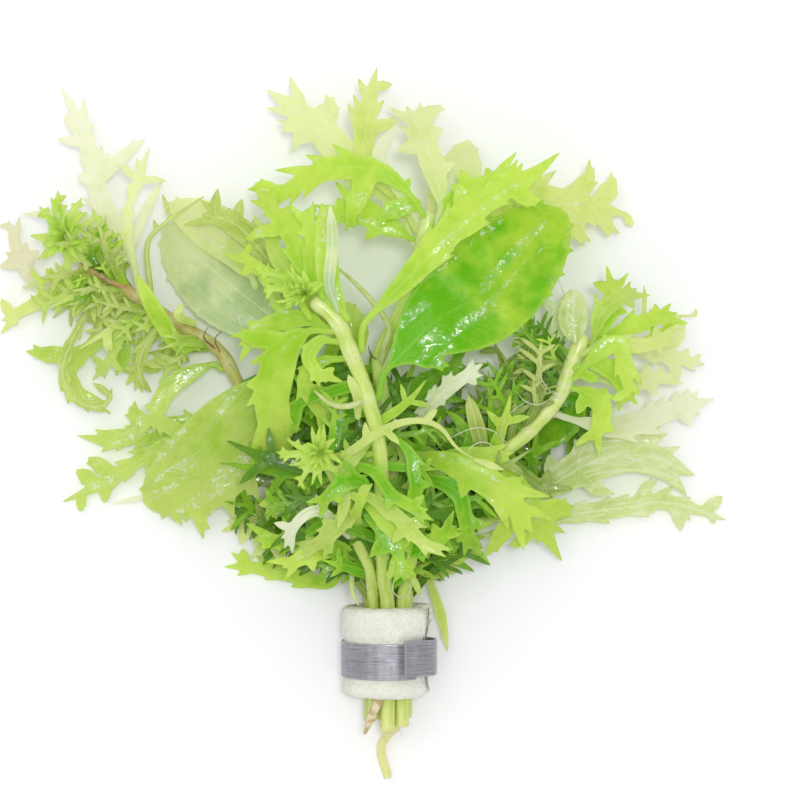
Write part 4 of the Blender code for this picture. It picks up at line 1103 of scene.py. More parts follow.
class Surface:
    """A thin leaf's middle surface as a height over the plan, read from its solid in the frame."""

    def __init__(self, line: np.ndarray, base_height: float, heights: np.ndarray) -> None:
        """Args:
            line: The midrib from above, closely sampled.
            base_height: Its height at the stem.
            heights: The three heights that shape it further out.
        """
        self.line = line
        self.base_height = base_height
        self.heights = heights

    @staticmethod
    def place(line: np.ndarray, spots: np.ndarray) -> tuple[np.ndarray, np.ndarray]:
        """Share of a line's length, and distance to its left, for spots seen from above.

        Args:
            line: The line.
            spots: The spots.

        Returns:
            The shares and the signed distances.
        """
        best = np.full(len(spots), 1e6)
        share = np.zeros(len(spots))
        side = np.zeros(len(spots))
        for index, (a, b) in enumerate(zip(line, line[1:])):
            step = b - a
            gap = spots - a
            t = np.clip((gap @ step) / (step @ step), 0, 1)
            rest = gap - t[:, None] * step
            away = (rest**2).sum(axis=1)
            nearer = away < best - 1e-9
            best = np.where(nearer, away, best)
            share = np.where(nearer, index + t, share)
            turn = step[0] * gap[:, 1] - step[1] * gap[:, 0]
            side = np.where(nearer, np.sign(turn), side)
        return share / (len(line) - 1), side * np.sqrt(best)

    @staticmethod
    def weights(share: np.ndarray) -> np.ndarray:
        """How far each of the three heights moves the surface at these shares of its length."""
        return np.stack([3 * share * (1 - share) ** 2, 3 * share**2 * (1 - share), share**3], axis=-1)

    @classmethod
    def of_leaf(cls, name: str, line: np.ndarray, base_height: float) -> "Surface":
        """Reads a leaf's heights from its node.

        Args:
            name: The node.
            line: The leaf's midrib.
            base_height: Its height at the stem.

        Returns:
            The surface through the middle of the solid.
        """
        corners = node_points(name)
        share, away = cls.place(line, corners[:, :2])
        fixed = base_height * (1 - share) ** 3 - EDGE_DROOP * away**2
        heights, *_ = np.linalg.lstsq(cls.weights(share), corners[:, 2] - fixed, rcond=None)
        return cls(line, base_height, heights)

    def at(self, spots: np.ndarray, _share: np.ndarray) -> np.ndarray:
        """Height of the middle surface at spots, by its own midrib."""
        share, side = self.place(self.line, spots)
        return self.base_height * (1 - share) ** 3 - EDGE_DROOP * side**2 + self.weights(share) @ self.heights


def arcs(root: float, tries: np.ndarray) -> np.ndarray:
    """The heights that shape arcs from a foot.

    Args:
        root: The height of the foot.
        tries: The heights that the middle and the tip of each arc are pulled to.

    Returns:
        The three heights of each arc.
    """
    middle, tip = tries.T
    return np.column_stack([root + (middle - root) * 2 / 3, tip + (middle - tip) * 2 / 3, tip])


def node_points(name: str) -> np.ndarray:
    """The corners of a node's mesh in millimetres, counted as in the tables."""
    data = frame["nodes"][name].data
    found = np.empty(len(data.vertices) * 3)
    data.vertices.foreach_get("co", found)
    return found.reshape(-1, 3) / MM + (0, BAND_LEVEL, 0)


def leaf_root(leaf: Leaf, stem: StemLine) -> tuple[np.ndarray, float]:
    """Where a leaf's midrib starts on its stem.

    Args:
        leaf: The leaf.
        stem: Its stem.

    Returns:
        The spot from above and its height.
    """
    start, along = stem.nearest(np.array(leaf.path[0], float))
    toward = np.array(leaf.path[1], float) - start[:2]
    flat = along[:2] / np.linalg.norm(along[:2])
    side = toward - flat * (toward @ flat)
    side /= np.linalg.norm(side)
    lean = abs(toward @ flat) / np.linalg.norm(toward)
    reach = stem.radius * (1 + NODE_SWELLING) + GAP
    flank = math.radians(FLANK_ANGLE) * leaf.side
    base = start[:2] + side * (reach * math.cos(flank) + PETIOLE_HALF * lean)
    return base, float(start[2] + reach * math.sin(flank))


@dataclass
class Skin:
    """A mesh in millimetres with the values that its material reads.

    Attributes:
        points: The corners.
        faces: Triangles, as rows of corner indices.
        values: Attributes by name, one value or one vector a corner.
    """

    points: np.ndarray
    faces: np.ndarray
    values: dict[str, np.ndarray]

    @staticmethod
    def joined(skins: list["Skin"]) -> "Skin":
        """Several skins as one."""
        shift = np.cumsum([0] + [len(skin.points) for skin in skins[:-1]])
        faces = np.vstack([skin.faces + step for skin, step in zip(skins, shift)])
        names = skins[0].values
        values = {name: np.concatenate([skin.values[name] for skin in skins]) for name in names}
        return Skin(np.vstack([skin.points for skin in skins]), faces, values)

    def mesh(self, name: str, sharp_angle: float = 50.0) -> bpy.types.Mesh:
        """Makes Blender's mesh.

        Args:
            name: Its name.
            sharp_angle: The angle in degrees past which an edge stays sharp.

        Returns:
            The mesh, in metres.
        """
        data = bpy.data.meshes.new(name)
        data.from_pydata((self.points * MM).tolist(), [], self.faces.tolist())
        for key, value in self.values.items():
            flat = value.ndim == 1
            layer = data.attributes.new(key, "FLOAT" if flat else "FLOAT_VECTOR", "POINT")
            layer.data.foreach_set("value" if flat else "vector", value.astype(np.float32).ravel())
        data.shade_smooth()
        data.set_sharp_from_angle(angle=math.radians(sharp_angle))
        return data


class LeafMaker:
    """Turns a blade and its middle surface into a thin closed leaf."""

    MARGIN_STEP = 0.62
    BODY_STEP = 1.15
    BODY_MARGIN = 0.45
    BODY_GAP = 0.5
    RAIL_MARGIN = 0.2
    RAIL_GAP = 0.26
    VEIN_HANDICAPS = (0.0, 0.12, 0.22)
    THICKNESS = 0.13
    RIM_THICKNESS = 0.07
    FLOW_STRETCH = 0.16

    def __init__(self, leaf: Leaf, blade: Blade, surface: Surface, seed: int) -> None:
        """Args:
            leaf: The leaf's entry in the table.
            blade: Its outline and veins.
            surface: Its middle surface.
            seed: The seed of its waves.
        """
        self.leaf = leaf
        self.blade = blade
        self.surface = surface
        self.dice = np.random.default_rng(seed + 1000)

    def plan(self) -> tuple[np.ndarray, np.ndarray, list[np.ndarray]]:
        """Spreads corners over the blade and joins them in triangles.

        Returns:
            The corners, the triangles and the loops of the margin.
        """
        loops = [even_loop(loop, self.MARGIN_STEP) for loop in self.blade.outlines()]
        margin = np.vstack(loops)
        low, high = margin.min(axis=0), margin.max(axis=0)
        step = self.BODY_STEP
        rows = np.arange(low[1], high[1], step * 0.866)
        columns = [np.arange(low[0] + (k % 2) * step / 2, high[0], step) for k in range(len(rows))]
        body = np.vstack([np.column_stack([xs, np.full(len(xs), y)]) for xs, y in zip(columns, rows)])
        body = body + self.dice.uniform(-0.12, 0.12, body.shape) * step
        rails = self.spaced(self.inner(self.rails(), loops, self.RAIL_MARGIN), self.RAIL_GAP)
        body = self.inner(body, loops, self.BODY_MARGIN)
        if len(rails) and len(body):
            apart = np.sqrt(((body[:, None] - rails[None]) ** 2).sum(-1)).min(axis=1)
            body = body[apart > self.BODY_GAP]
        points = [tuple(map(float, p)) for p in np.vstack([margin, rails, body])]
        edges, first = [], 0
        for loop in loops:
            count = len(loop)
            edges += [(first + k, first + (k + 1) % count) for k in range(count)]
            first += count
        corners, _, faces, _, _, _ = delaunay_2d_cdt(points, edges, [], 0, 1e-5, False)
        corners = np.array([tuple(v) for v in corners])
        faces = np.array(faces)
        return corners, faces[within(corners[faces].mean(axis=1), loops)], loops

    @staticmethod
    def inner(spots: np.ndarray, loops: list[np.ndarray], margin: float) -> np.ndarray:
        """The spots inside some loops and further than a margin from them."""
        spots = spots[within(spots, loops)]
        return spots[to_margin(spots, loops) > margin]

    def rails(self) -> np.ndarray:
        """Points along each vein and close to both sides of it."""
        found = []
        for bone in self.blade.bones:
            line = smooth_line(bone.line, max(int(run_length(bone.line) / 0.9), 3))
            along = np.gradient(line, axis=0)
            along /= np.linalg.norm(along, axis=1)[:, None] + 1e-9
            across = np.stack([along[:, 1], -along[:, 0]], axis=1)
            found.append(line)
            offset = 0.46 if bone.order == 0 else 0.36
            found += [line + across * offset, line - across * offset]
        return np.vstack(found)

    @staticmethod
    def spaced(spots: np.ndarray, gap: float) -> np.ndarray:
        """The spots with those too close to an earlier one left out."""
        kept = {}
        for spot in spots:
            cell = (math.floor(spot[0] / gap), math.floor(spot[1] / gap))
            near = [kept.get((cell[0] + i, cell[1] + j)) for i in (-1, 0, 1) for j in (-1, 0, 1)]
            if all(other is None or np.hypot(*(other - spot)) >= gap for other in near):
                kept[cell] = spot
        return np.array(list(kept.values())).reshape(-1, 2)

    def to_vein(self, spots: np.ndarray) -> np.ndarray:
        """Distance to the nearest vein, the thinner veins taken as further off."""
        nearest = np.full(len(spots), 9.0)
        for bone in self.blade.bones:
            for a, b in zip(bone.line, bone.line[1:]):
                nearest = np.minimum(nearest, from_step(spots, a, b)[1] + self.VEIN_HANDICAPS[bone.order])
        return nearest

    def waves(self, spots: np.ndarray, away: np.ndarray, share: np.ndarray, edge: np.ndarray) -> np.ndarray:
        """Waves of the blade, stronger towards its margin and none at the stem.

        Args:
            spots: Points from above.
            away: Distance from the midrib.
            share: Share of the length.
            edge: Distance from the margin.

        Returns:
            The height that the waves add.
        """
        total = np.zeros(len(spots))
        for _ in range(5):
            turn = self.dice.uniform(0, 2 * math.pi)
            length = self.dice.uniform(6.5, 15.0)
            phase = self.dice.uniform(0, 2 * math.pi)
            heading = pointing(turn) * 2 * math.pi / length
            total += length / 11 * np.sin(spots @ heading + phase)
        reach = np.clip(np.abs(away) / 3.5, 0, 1)
        free = smooth_step(share, 0.06, 0.3)
        frill = np.sin(share * self.blade.length * 2 * math.pi / 5.2 + np.sign(away) * 1.3)
        frill *= np.clip(1 - edge / 2.2, 0, 1) * np.clip(np.abs(away) / 4, 0, 1) * 0.24
        return self.leaf.frill * free * (0.2 * total * (0.35 + 0.65 * reach) + frill)

    def build(self) -> Skin:
        """Builds the leaf.

        Returns:
            Its closed skin.
        """
        spots, faces, loops = self.plan()
        share, side = Surface.place(self.blade.line, spots)
        away = np.abs(side)
        edge = to_margin(spots, loops)
        edge = np.where(edge < 0.002, 0.0, edge)
        rib = self.to_vein(spots)
        middle = self.surface.at(spots, share)
        quilt = 0.11 * smooth_step(rib, 0.1, 1.6) * smooth_step(share, 0.05, 0.25) - 0.07
        fold = 0.05 * np.clip(away, 0, 4) * smooth_step(share, 0.1, 0.3)
        middle = middle + quilt + fold + self.waves(spots, away, share, edge)
        blade = self.RIM_THICKNESS + (self.THICKNESS - self.RIM_THICKNESS) * smooth_step(edge, 0.0, 0.8)
        stalk = 0.62 * smooth_step(share, 0.34, 0.02) + 0.16 * smooth_step(share, 0.95, 0.3)
        round_ = np.sqrt(np.clip(1 - (away / 0.95) ** 2, 0, 1))
        vein = 0.10 * np.exp(-(rib / 0.3) ** 2) * smooth_step(edge, 0.0, 0.6)
        swell = np.maximum(stalk * round_ * smooth_step(edge, 0.0, 0.35), vein)
        upper = middle + blade + 0.55 * swell
        lower = np.maximum(middle - blade - swell, FLOOR_CLEARANCE)
        upper = np.maximum(upper, lower + 2 * self.RIM_THICKNESS)
        return self.close(spots, faces, (upper, lower), {"rib": rib, "edge": edge, "along": share}, side)

    def close(self, spots: np.ndarray, faces: np.ndarray, levels: tuple, read: dict[str, np.ndarray],
              side: np.ndarray) -> Skin:
        """Joins the upper and lower faces round the margin.

        Args:
            spots: Corners from above.
            faces: Triangles of the upper face.
            levels: Heights of the upper and the lower face.
            read: What the material reads at each corner.
            side: Signed distance from the midrib.

        Returns:
            The closed skin.
        """
        a, b, c = (spots[faces[:, k]] for k in range(3))
        turned = (b[:, 0] - a[:, 0]) * (c[:, 1] - a[:, 1]) - (b[:, 1] - a[:, 1]) * (c[:, 0] - a[:, 0]) < 0
        faces = np.where(turned[:, None], faces[:, ::-1], faces)
        count = len(spots)
        pairs = np.vstack([faces[:, [0, 1]], faces[:, [1, 2]], faces[:, [2, 0]]])
        known = set(map(tuple, pairs.tolist()))
        rim = [(i, j) for i, j in known if (j, i) not in known]
        walls = []
        for i, j in rim:
            walls += [(j, i, i + count), (j, i + count, j + count)]
        all_faces = np.vstack([faces, faces[:, ::-1] + count, np.array(walls, int).reshape(-1, 3)])
        points = np.vstack([np.column_stack([spots, level]) for level in levels])
        stretched = read["along"] * self.blade.length * self.FLOW_STRETCH
        flow = np.column_stack([stretched, side, np.full(count, self.dice.uniform(0, 50))]) * MM
        skin = np.column_stack([spots, np.zeros(count)]) * MM
        values = {key: np.tile(value, 2) for key, value in read.items()}
        values |= {"flow": np.tile(flow, (2, 1)), "skin": np.tile(skin, (2, 1)),
                   "under": np.repeat([0.0, 1.0], count)}
        used = np.unique(all_faces)
        fresh = np.full(len(points), -1)
        fresh[used] = np.arange(len(used))
        return Skin(points[used], fresh[all_faces], {key: value[used] for key, value in values.items()})


def add_piece(name: str, data: bpy.types.Mesh, look: bpy.types.Material, slot: str,
              *nodes: str) -> bpy.types.Object:
    """Puts a finished mesh in the scene as a piece of the bunch.

    Args:
        name: The piece's name.
        data: Its mesh.
        look: Its material.
        slot: The record's material slot; not used.
        nodes: The CAD nodes that it stands for.

    Returns:
        The piece.
    """
    data.transform(Matrix.Translation((0.0, -BAND_LEVEL * MM, 0.0)))
    made = bpy.data.objects.new(name, data)
    bpy.context.scene.collection.objects.link(made)
    if not data.materials:
        data.materials.append(look)
    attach(made, BODY)
    if nodes:
        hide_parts(*nodes)
    LOG.info("%s: %d triangles", name, sum(len(face.vertices) - 2 for face in data.polygons))
    return made


class Occupied:
    """The heights at which the leaves already placed cross each cell of the plan."""

    CELL = 1.4

    def __init__(self) -> None:
        """Starts with nothing placed."""
        self.levels: dict[tuple[int, int], list[tuple[float, float]]] = {}

    def cells(self, spots: np.ndarray) -> list[tuple[int, int]]:
        """The cells that spots fall in."""
        return [tuple(cell) for cell in np.round(spots / self.CELL).astype(int).tolist()]

    def add(self, spots: np.ndarray, heights: np.ndarray, half: float) -> None:
        """Marks a surface as placed.

        Args:
            spots: Points of it from above.
            heights: Their heights.
            half: Half of the room that it takes up.
        """
        seen = {}
        for cell, height in zip(self.cells(spots), heights):
            seen.setdefault(cell, []).append(float(height))
        for cell, found in seen.items():
            self.levels.setdefault(cell, []).append((sum(found) / len(found), half))

    def add_skin(self, skin: Skin, half: float) -> None:
        """Marks the upper face of a leaf as placed."""
        upper = skin.points[:len(skin.points) // 2]
        self.add(upper[:, :2], upper[:, 2], half)

    def crowding(self, spots: np.ndarray, heights: np.ndarray, room: float, lowest: float) -> np.ndarray:
        """How deeply each of several surfaces runs into what is placed, and into the floor.

        Args:
            spots: Points from above.
            heights: Heights, one row a surface.
            room: The room to keep.
            lowest: The height to keep above the floor.

        Returns:
            The sum of the shortfalls of each surface, those above the floor counted four times.
        """
        total = np.zeros(len(heights))
        for column, cell in enumerate(self.cells(spots)):
            for level, half in self.levels.get(cell, ()):
                total += np.clip(half + room - np.abs(heights[:, column] - level), 0, None)
        return total + np.clip(lowest - heights, 0, None).sum(axis=1) * 4


class StarSurface(Surface):
    """The middle surface of a shoot's tip, which depends on the distance from its centre."""

    def __init__(self, centre: np.ndarray, reach: float, base_height: float, heights: np.ndarray,
                 root: float, lift: float) -> None:
        """Args:
            centre: The centre from above.
            reach: The distance to the furthest tip.
            base_height: The height at the centre.
            heights: The three heights further out.
            root: How far below the surface the young leaves leave the stem.
            lift: How far this ring of leaves stands above it.
        """
        super().__init__(np.zeros((2, 2)), base_height, heights)
        self.centre = centre
        self.reach = reach
        self.root = root
        self.lift = lift

    def at(self, spots: np.ndarray, share: np.ndarray) -> np.ndarray:
        """Height of the surface, with the dip to the stem and the lift of the ring.

        Args:
            spots: Points seen from above.
            share: The share of the young leaf's length at each.

        Returns:
            The heights.
        """
        out = np.clip(np.linalg.norm(spots - self.centre, axis=1) / self.reach, 0, 1)
        level = self.base_height * (1 - out) ** 3 + self.weights(out) @ self.heights
        dip = self.root * (1 - smooth_step(share, 0.0, 0.3))
        return level - dip + self.lift * smooth_step(share, 0.1, 0.7)


class LeafBed:
    """Every leaf of the bunch: the main ones over their solids, the shoots' tips, and the small ones."""

    RINGS = ((1.0, 0.0, 0.0), (0.88, 0.7, 0.22), (0.62, 1.3, 0.5), (0.42, 1.8, 0.8))
    FROND_TRIES = 48
    FROND_HIGHEST = 46
    LEAF_TRIES = 240
    LEAF_HIGHEST = 47

    def __init__(self, stems: dict[str, StemLine]) -> None:
        """Args:
            stems: The stems by name.
        """
        self.stems = stems
        self.occupied = Occupied()
        self.looks: dict[Leafage, bpy.types.Material] = {}
        for stem in stems.values():
            for offset in (-0.7, 0.0, 0.7):
                along = np.gradient(stem.line[:, :2], axis=0)
                along /= np.linalg.norm(along, axis=1)[:, None]
                across = np.stack([along[:, 1], -along[:, 0]], axis=1)
                spots = stem.line[:, :2] + across * offset * stem.radius
                self.occupied.add(spots, stem.line[:, 2], stem.radius * math.sqrt(1 - offset**2))

    def material(self, look: Leafage) -> bpy.types.Material:
        """The material of a finish, made once."""
        if look not in self.looks:
            self.looks[look] = look.value.material()
        return self.looks[look]

    def midrib(self, leaf: Leaf) -> tuple[np.ndarray, float]:
        """A leaf's midrib from above, from its foot on the stem, and the height of its foot."""
        base, height = leaf_root(leaf, self.stems[leaf.stem])
        return smooth_line([base, *leaf.path[1:]], 60), height

    @staticmethod
    def rooted(line: np.ndarray) -> np.ndarray:
        """A midrib lengthened a little at its foot, into the stem."""
        ahead = line[1] - line[0]
        return np.vstack([line[0] - ahead / np.linalg.norm(ahead) * INTO_STEM, line])

    def main_leaf(self, leaf: Leaf, seed: int) -> None:
        """Builds one of the leaves that has a solid.

        Args:
            leaf: The leaf.
            seed: Its seed.
        """
        line, height = self.midrib(leaf)
        surface = Surface.of_leaf(leaf.name, line, height)
        blade = Blade(leaf, self.rooted(line), seed)
        skin = LeafMaker(leaf, blade, surface, seed).build()
        self.occupied.add_skin(skin, 0.35)
        name = leaf.name + "_blade"
        add_piece(name, skin.mesh(name), self.material(leaf.look), leaf.look.value.slot, leaf.name)

    def shoot_tip(self, rosette: Rosette, seed: int) -> None:
        """Builds a shoot's tip as three rings of young leaves round a bud.

        Args:
            rosette: The rosette.
            seed: Its seed.
        """
        dice = np.random.default_rng(seed)
        centre = np.array(rosette.centre, float)
        stem = self.stems[rosette.stem]
        corners = node_points(rosette.name)
        reach = max(math.hypot(x - centre[0], y - centre[1]) for x, y, _ in rosette.rays)
        out = np.clip(np.linalg.norm(corners[:, :2] - centre, axis=1) / reach, 0, 1)
        base = float(stem.line[-1][2] + stem.radius + GAP + 0.5)
        heights, *_ = np.linalg.lstsq(Surface.weights(out), corners[:, 2] - base * (1 - out) ** 3, rcond=None)
        rings: dict[Leafage, list[Skin]] = {}
        for ring, (size, lift, turn) in enumerate(self.RINGS):
            for index, (x, y, half) in enumerate(rosette.rays):
                if ring and index % 2 == ring % 2 and len(rosette.rays) > 8:
                    continue
                spread = np.array([x, y]) - centre
                angle = turn + dice.uniform(-0.12, 0.12) * ring
                swing = np.array([[math.cos(angle), -math.sin(angle)], [math.sin(angle), math.cos(angle)]])
                tip = centre + swing @ spread * size * (1 + dice.uniform(-0.1, 0.1) * (ring > 0))
                bend = np.array([-spread[1], spread[0]]) * dice.uniform(-0.10, 0.10)
                path = [tuple(centre), tuple((centre + tip) / 2 + bend), tuple(tip)]
                look = rosette.look if ring == 0 else rosette.inner
                line = smooth_line(path, 40)
                length = float(np.linalg.norm(tip - centre))
                lobes = self.leaflet_lobes(line, length, dice) if length > 8.5 else []
                leaf = Leaf(rosette.name, rosette.stem, Form.FINE, path, half * (0.74 - 0.10 * ring), look,
                            half * 0.34, lobes, frill=0.5)
                surface = StarSurface(centre, reach, base, heights, stem.radius + GAP + 0.3, lift)
                blade = Blade(leaf, line, seed + index)
                skin = LeafMaker(leaf, blade, surface, seed + 10 * ring + index).build()
                rings.setdefault(look, []).append(skin)
        for number, (look, skins) in enumerate(rings.items()):
            data = Skin.joined(skins).mesh(rosette.name)
            name = rosette.name + ("_leaves", "_bud")[number]
            nodes = (rosette.name,) if number == 0 else ()
            add_piece(name, data, self.material(look), look.value.slot, *nodes)

    @staticmethod
    def leaflet_lobes(line: np.ndarray, length: float, dice: np.random.Generator) -> list[tuple]:
        """Lobe tips along a narrow young leaf, in pairs."""
        lobes = []
        pairs = max(int(length / 5.5), 1)
        for share in np.linspace(0.34, 0.7, pairs):
            at = int(share * (len(line) - 1))
            heading = line[min(at + 1, len(line) - 1)] - line[at - 1]
            heading /= np.linalg.norm(heading)
            for side in (1, -1):
                if dice.random() < 0.2:
                    continue
                across = np.array([heading[1], -heading[0]]) * side
                size = length * dice.uniform(0.16, 0.28) * (1.15 - share * 0.5)
                lobes.append(tuple(line[at] + across * size + heading * size * dice.uniform(0.5, 1.2)))
        return lobes

    def lay(self, frond: "Frond", start: tuple[np.ndarray, float], turn: float, size: tuple, arc: tuple,
            dice: np.random.Generator) -> Skin:
        """Lays a copy of a frond along the clearest of some arcs from its foot.

        Args:
            frond: The frond.
            start: Its foot from above, and the height there.
            turn: The direction that it runs in, in radians.
            size: Its scale, -1 or 1 for the side it curves to, and how strongly it curves.
            arc: The heights that its middle and tip should have.
            dice: The source of chance.

        Returns:
            The copy's skin.
        """
        foot, root = start
        scale, mirror, bend = size
        tries = np.clip(dice.normal(0, 3.5, (self.FROND_TRIES, 2)) + np.array(arc), 0.9, self.FROND_HIGHEST)
        shapes = arcs(root, tries)

        def plan(points: np.ndarray) -> np.ndarray:
            """The frond's own coordinates as seen from above in the bunch."""
            x = points[:, 0] * scale
            y = (points[:, 1] * scale + bend * x**2 / (frond.length * scale)) * mirror
            return foot + np.column_stack([x * math.cos(turn) - y * math.sin(turn),
                                           x * math.sin(turn) + y * math.cos(turn)])

        def rise(points: np.ndarray, shape: np.ndarray) -> np.ndarray:
            """The height of the arc over points of the frond."""
            share = np.clip(points[:, 0] / frond.length, 0, 1)
            return root * (1 - share) ** 3 + shape @ Surface.weights(share).T

        far = frond.probes[frond.probes[:, 0] > 0.2 * frond.length]
        levels = rise(far, shapes)
        cost = self.occupied.crowding(plan(far), levels, 0.4, 0.7)
        cost += 0.05 * np.abs(tries - np.array(arc)).sum(axis=1)
        best = shapes[int(cost.argmin())]
        points = frond.skin.points
        spots, level = plan(points), np.maximum(rise(points, best), 0.62)
        self.occupied.add(spots[::4], level[::4], 0.3)
        faces = frond.skin.faces if mirror > 0 else frond.skin.faces[:, ::-1]
        values = dict(frond.skin.values)
        values["flow"] = values["flow"] + np.array([0, 0, dice.uniform(0, 0.05)])
        return Skin(np.column_stack([spots, level + points[:, 2]]), faces, values)

    def small_leaf(self, leaf: Leaf, seed: int) -> tuple[Skin, float]:
        """Builds a small leaf along the clearest of many arcs near the heights wanted.

        Args:
            leaf: The leaf.
            seed: Its seed.

        Returns:
            Its skin and how deeply it still runs into others.
        """
        line, root = self.midrib(leaf)
        dice = np.random.default_rng(seed)
        blade = Blade(leaf, self.rooted(line), seed)
        spots = np.vstack([bone.line for bone in blade.bones if bone.fleshy])
        share, side = Surface.place(line, spots)
        keep = share > 0.22
        spots, share, away = spots[keep], share[keep], np.abs(side[keep])
        tries = np.column_stack([level + dice.normal(0, spread, self.LEAF_TRIES)
                                 for level, spread in zip(leaf.heights, (4.5, 5.5))])
        tries = np.vstack([leaf.heights, np.clip(tries, 1.2, self.LEAF_HIGHEST)])
        shapes = arcs(root, tries)
        levels = root * (1 - share) ** 3 - EDGE_DROOP * away**2 + shapes @ Surface.weights(share).T
        cost = self.occupied.crowding(spots, levels, 0.45, 0.8)
        best = int((cost + 0.06 * np.abs(tries - leaf.heights).sum(axis=1)).argmin())
        surface = Surface(line, root, shapes[best])
        skin = LeafMaker(leaf, blade, surface, seed).build()
        self.occupied.add_skin(skin, 0.3)
        return skin, float(cost[best])

    def small_leaves(self, leaves: list[Leaf], groups: dict[Leafage, list[Skin]], seed: int) -> None:
        """Builds the small leaves and joins those of one finish in one piece.

        Args:
            leaves: The small leaves.
            groups: Skins to join with them, by finish.
            seed: The first one's seed.
        """
        for index, leaf in enumerate(leaves):
            skin, cost = self.small_leaf(leaf, seed + index)
            LOG.info("%s: crowding %.1f", leaf.name, cost)
            groups.setdefault(leaf.look, []).append(skin)
        for look, skins in groups.items():
            name = "small_leaves_" + look.name.lower()
            add_piece(name, Skin.joined(skins).mesh(name), self.material(look), look.value.slot)


@dataclass
class Frond:
    """A small cut leaf laid out flat along +X, for many copies.

    Attributes:
        length: Its length.
        skin: Its skin, around a height of 0.
        probes: Points spread over it.
    """

    length: float
    skin: Skin
    probes: np.ndarray

    LEVEL = 5.0

    @classmethod
    def grown(cls, length: float, half: float, pairs: int, reach: float, seed: int) -> "Frond":
        """Builds a frond.

        Args:
            length: Its length.
            half: The half width of its blade.
            pairs: How many pairs of lobes it has.
            reach: How far the lobes stand out.
            seed: Its seed.

        Returns:
            The frond.
        """
        dice = np.random.default_rng(seed)
        line = smooth_line([(0, 0), (length * 0.5, dice.uniform(-0.05, 0.05) * length), (length, 0)], 40)
        lobes = []
        for share in np.linspace(0.3, 0.3 + 0.17 * (pairs - 1), pairs):
            for side in (1, -1):
                if dice.random() < 0.15:
                    continue
                out = reach * dice.uniform(0.7, 1.15) * (1.15 - 0.55 * share)
                spot = line[int(share * 39)] + np.array([out * dice.uniform(0.9, 1.6), side * out])
                lobes.append(tuple(spot))
        leaf = Leaf("frond", "", Form.FINE, [(0, 0), (length, 0)], half, Leafage.GREEN, half * 0.6, lobes)
        blade = FrondBlade(leaf, line, seed)
        surface = Surface(line, cls.LEVEL, np.full(3, cls.LEVEL))
        skin = FrondMaker(leaf, blade, surface, seed).build()
        skin.points[:, 2] -= cls.LEVEL
        return cls(length, skin, np.vstack([bone.line[::3] for bone in blade.bones]))


class FrondBlade(Blade):
    """A blade traced more coarsely, since many copies of it are laid."""

    CELL = 0.44


class FrondMaker(LeafMaker):
    """A leaf maker that uses fewer corners."""

    MARGIN_STEP = 0.95
    BODY_STEP = 1.9


@dataclass
class Thicket:
    """Fronds that fill a part of the bunch, drawn at random within its outline.

    Attributes:
        outline: The outline from above that they stay in.
        stems: The stems that they grow from.
        count: How many there are.
        sizes: The smallest and largest scale.
        levels: The lowest and highest that their middles are pulled to.
        rise: How far they climb from their foot on average.
        looks: The finishes, each with how often it comes.
        seed: The seed.
    """

    outline: list
    stems: tuple
    count: int
    sizes: tuple
    levels: tuple
    rise: float
    looks: dict[Leafage, float]
    seed: int

    def grow(self, bed: LeafBed, fronds: list[Frond], groups: dict[Leafage, list[Skin]]) -> None:
        """Lays the fronds.

        Args:
            bed: The leaves placed so far.
            fronds: The fronds to copy.
            groups: Where the copies go, by finish.
        """
        dice = np.random.default_rng(self.seed)
        loop = [np.array(self.outline, float)]
        looks = list(self.looks)
        odds = np.array([self.looks[look] for look in looks])
        placed = 0
        for _ in range(self.count * 30):
            if placed == self.count:
                break
            stem = bed.stems[self.stems[dice.integers(len(self.stems))]]
            at = int(dice.integers(36, len(stem.line) - 6))
            ahead = stem.line[at + 3, :2] - stem.line[at - 3, :2]
            side = 1 if dice.random() < 0.5 else -1
            turn = math.atan2(ahead[1], ahead[0]) + math.radians(dice.uniform(25, 95)) * side
            frond = fronds[dice.integers(len(fronds))]
            scale = dice.uniform(*self.sizes)
            heading = pointing(turn)
            foot = stem.line[at, :2] + heading * stem.radius * 0.75
            ends = np.array([foot + heading * frond.length * scale * part for part in (0.3, 0.65, 1.0)])
            if not within(ends, loop).all():
                continue
            level = stem.line[at, 2]
            middle = float(np.clip(level + self.rise + dice.normal(0, 5), *self.levels))
            tip = float(np.clip(middle + dice.normal(-1.5, 4.5), 1.0, self.levels[1] + 2))
            size = (scale, 1 if dice.random() < 0.5 else -1, dice.uniform(-0.12, 0.22))
            skin = bed.lay(frond, (foot, float(level)), turn, size, (middle, tip), dice)
            look = looks[int(dice.choice(len(looks), p=odds / odds.sum()))]
            groups.setdefault(look, []).append(skin)
            placed += 1
        LOG.info("thicket %d: %d fronds", self.seed, placed)


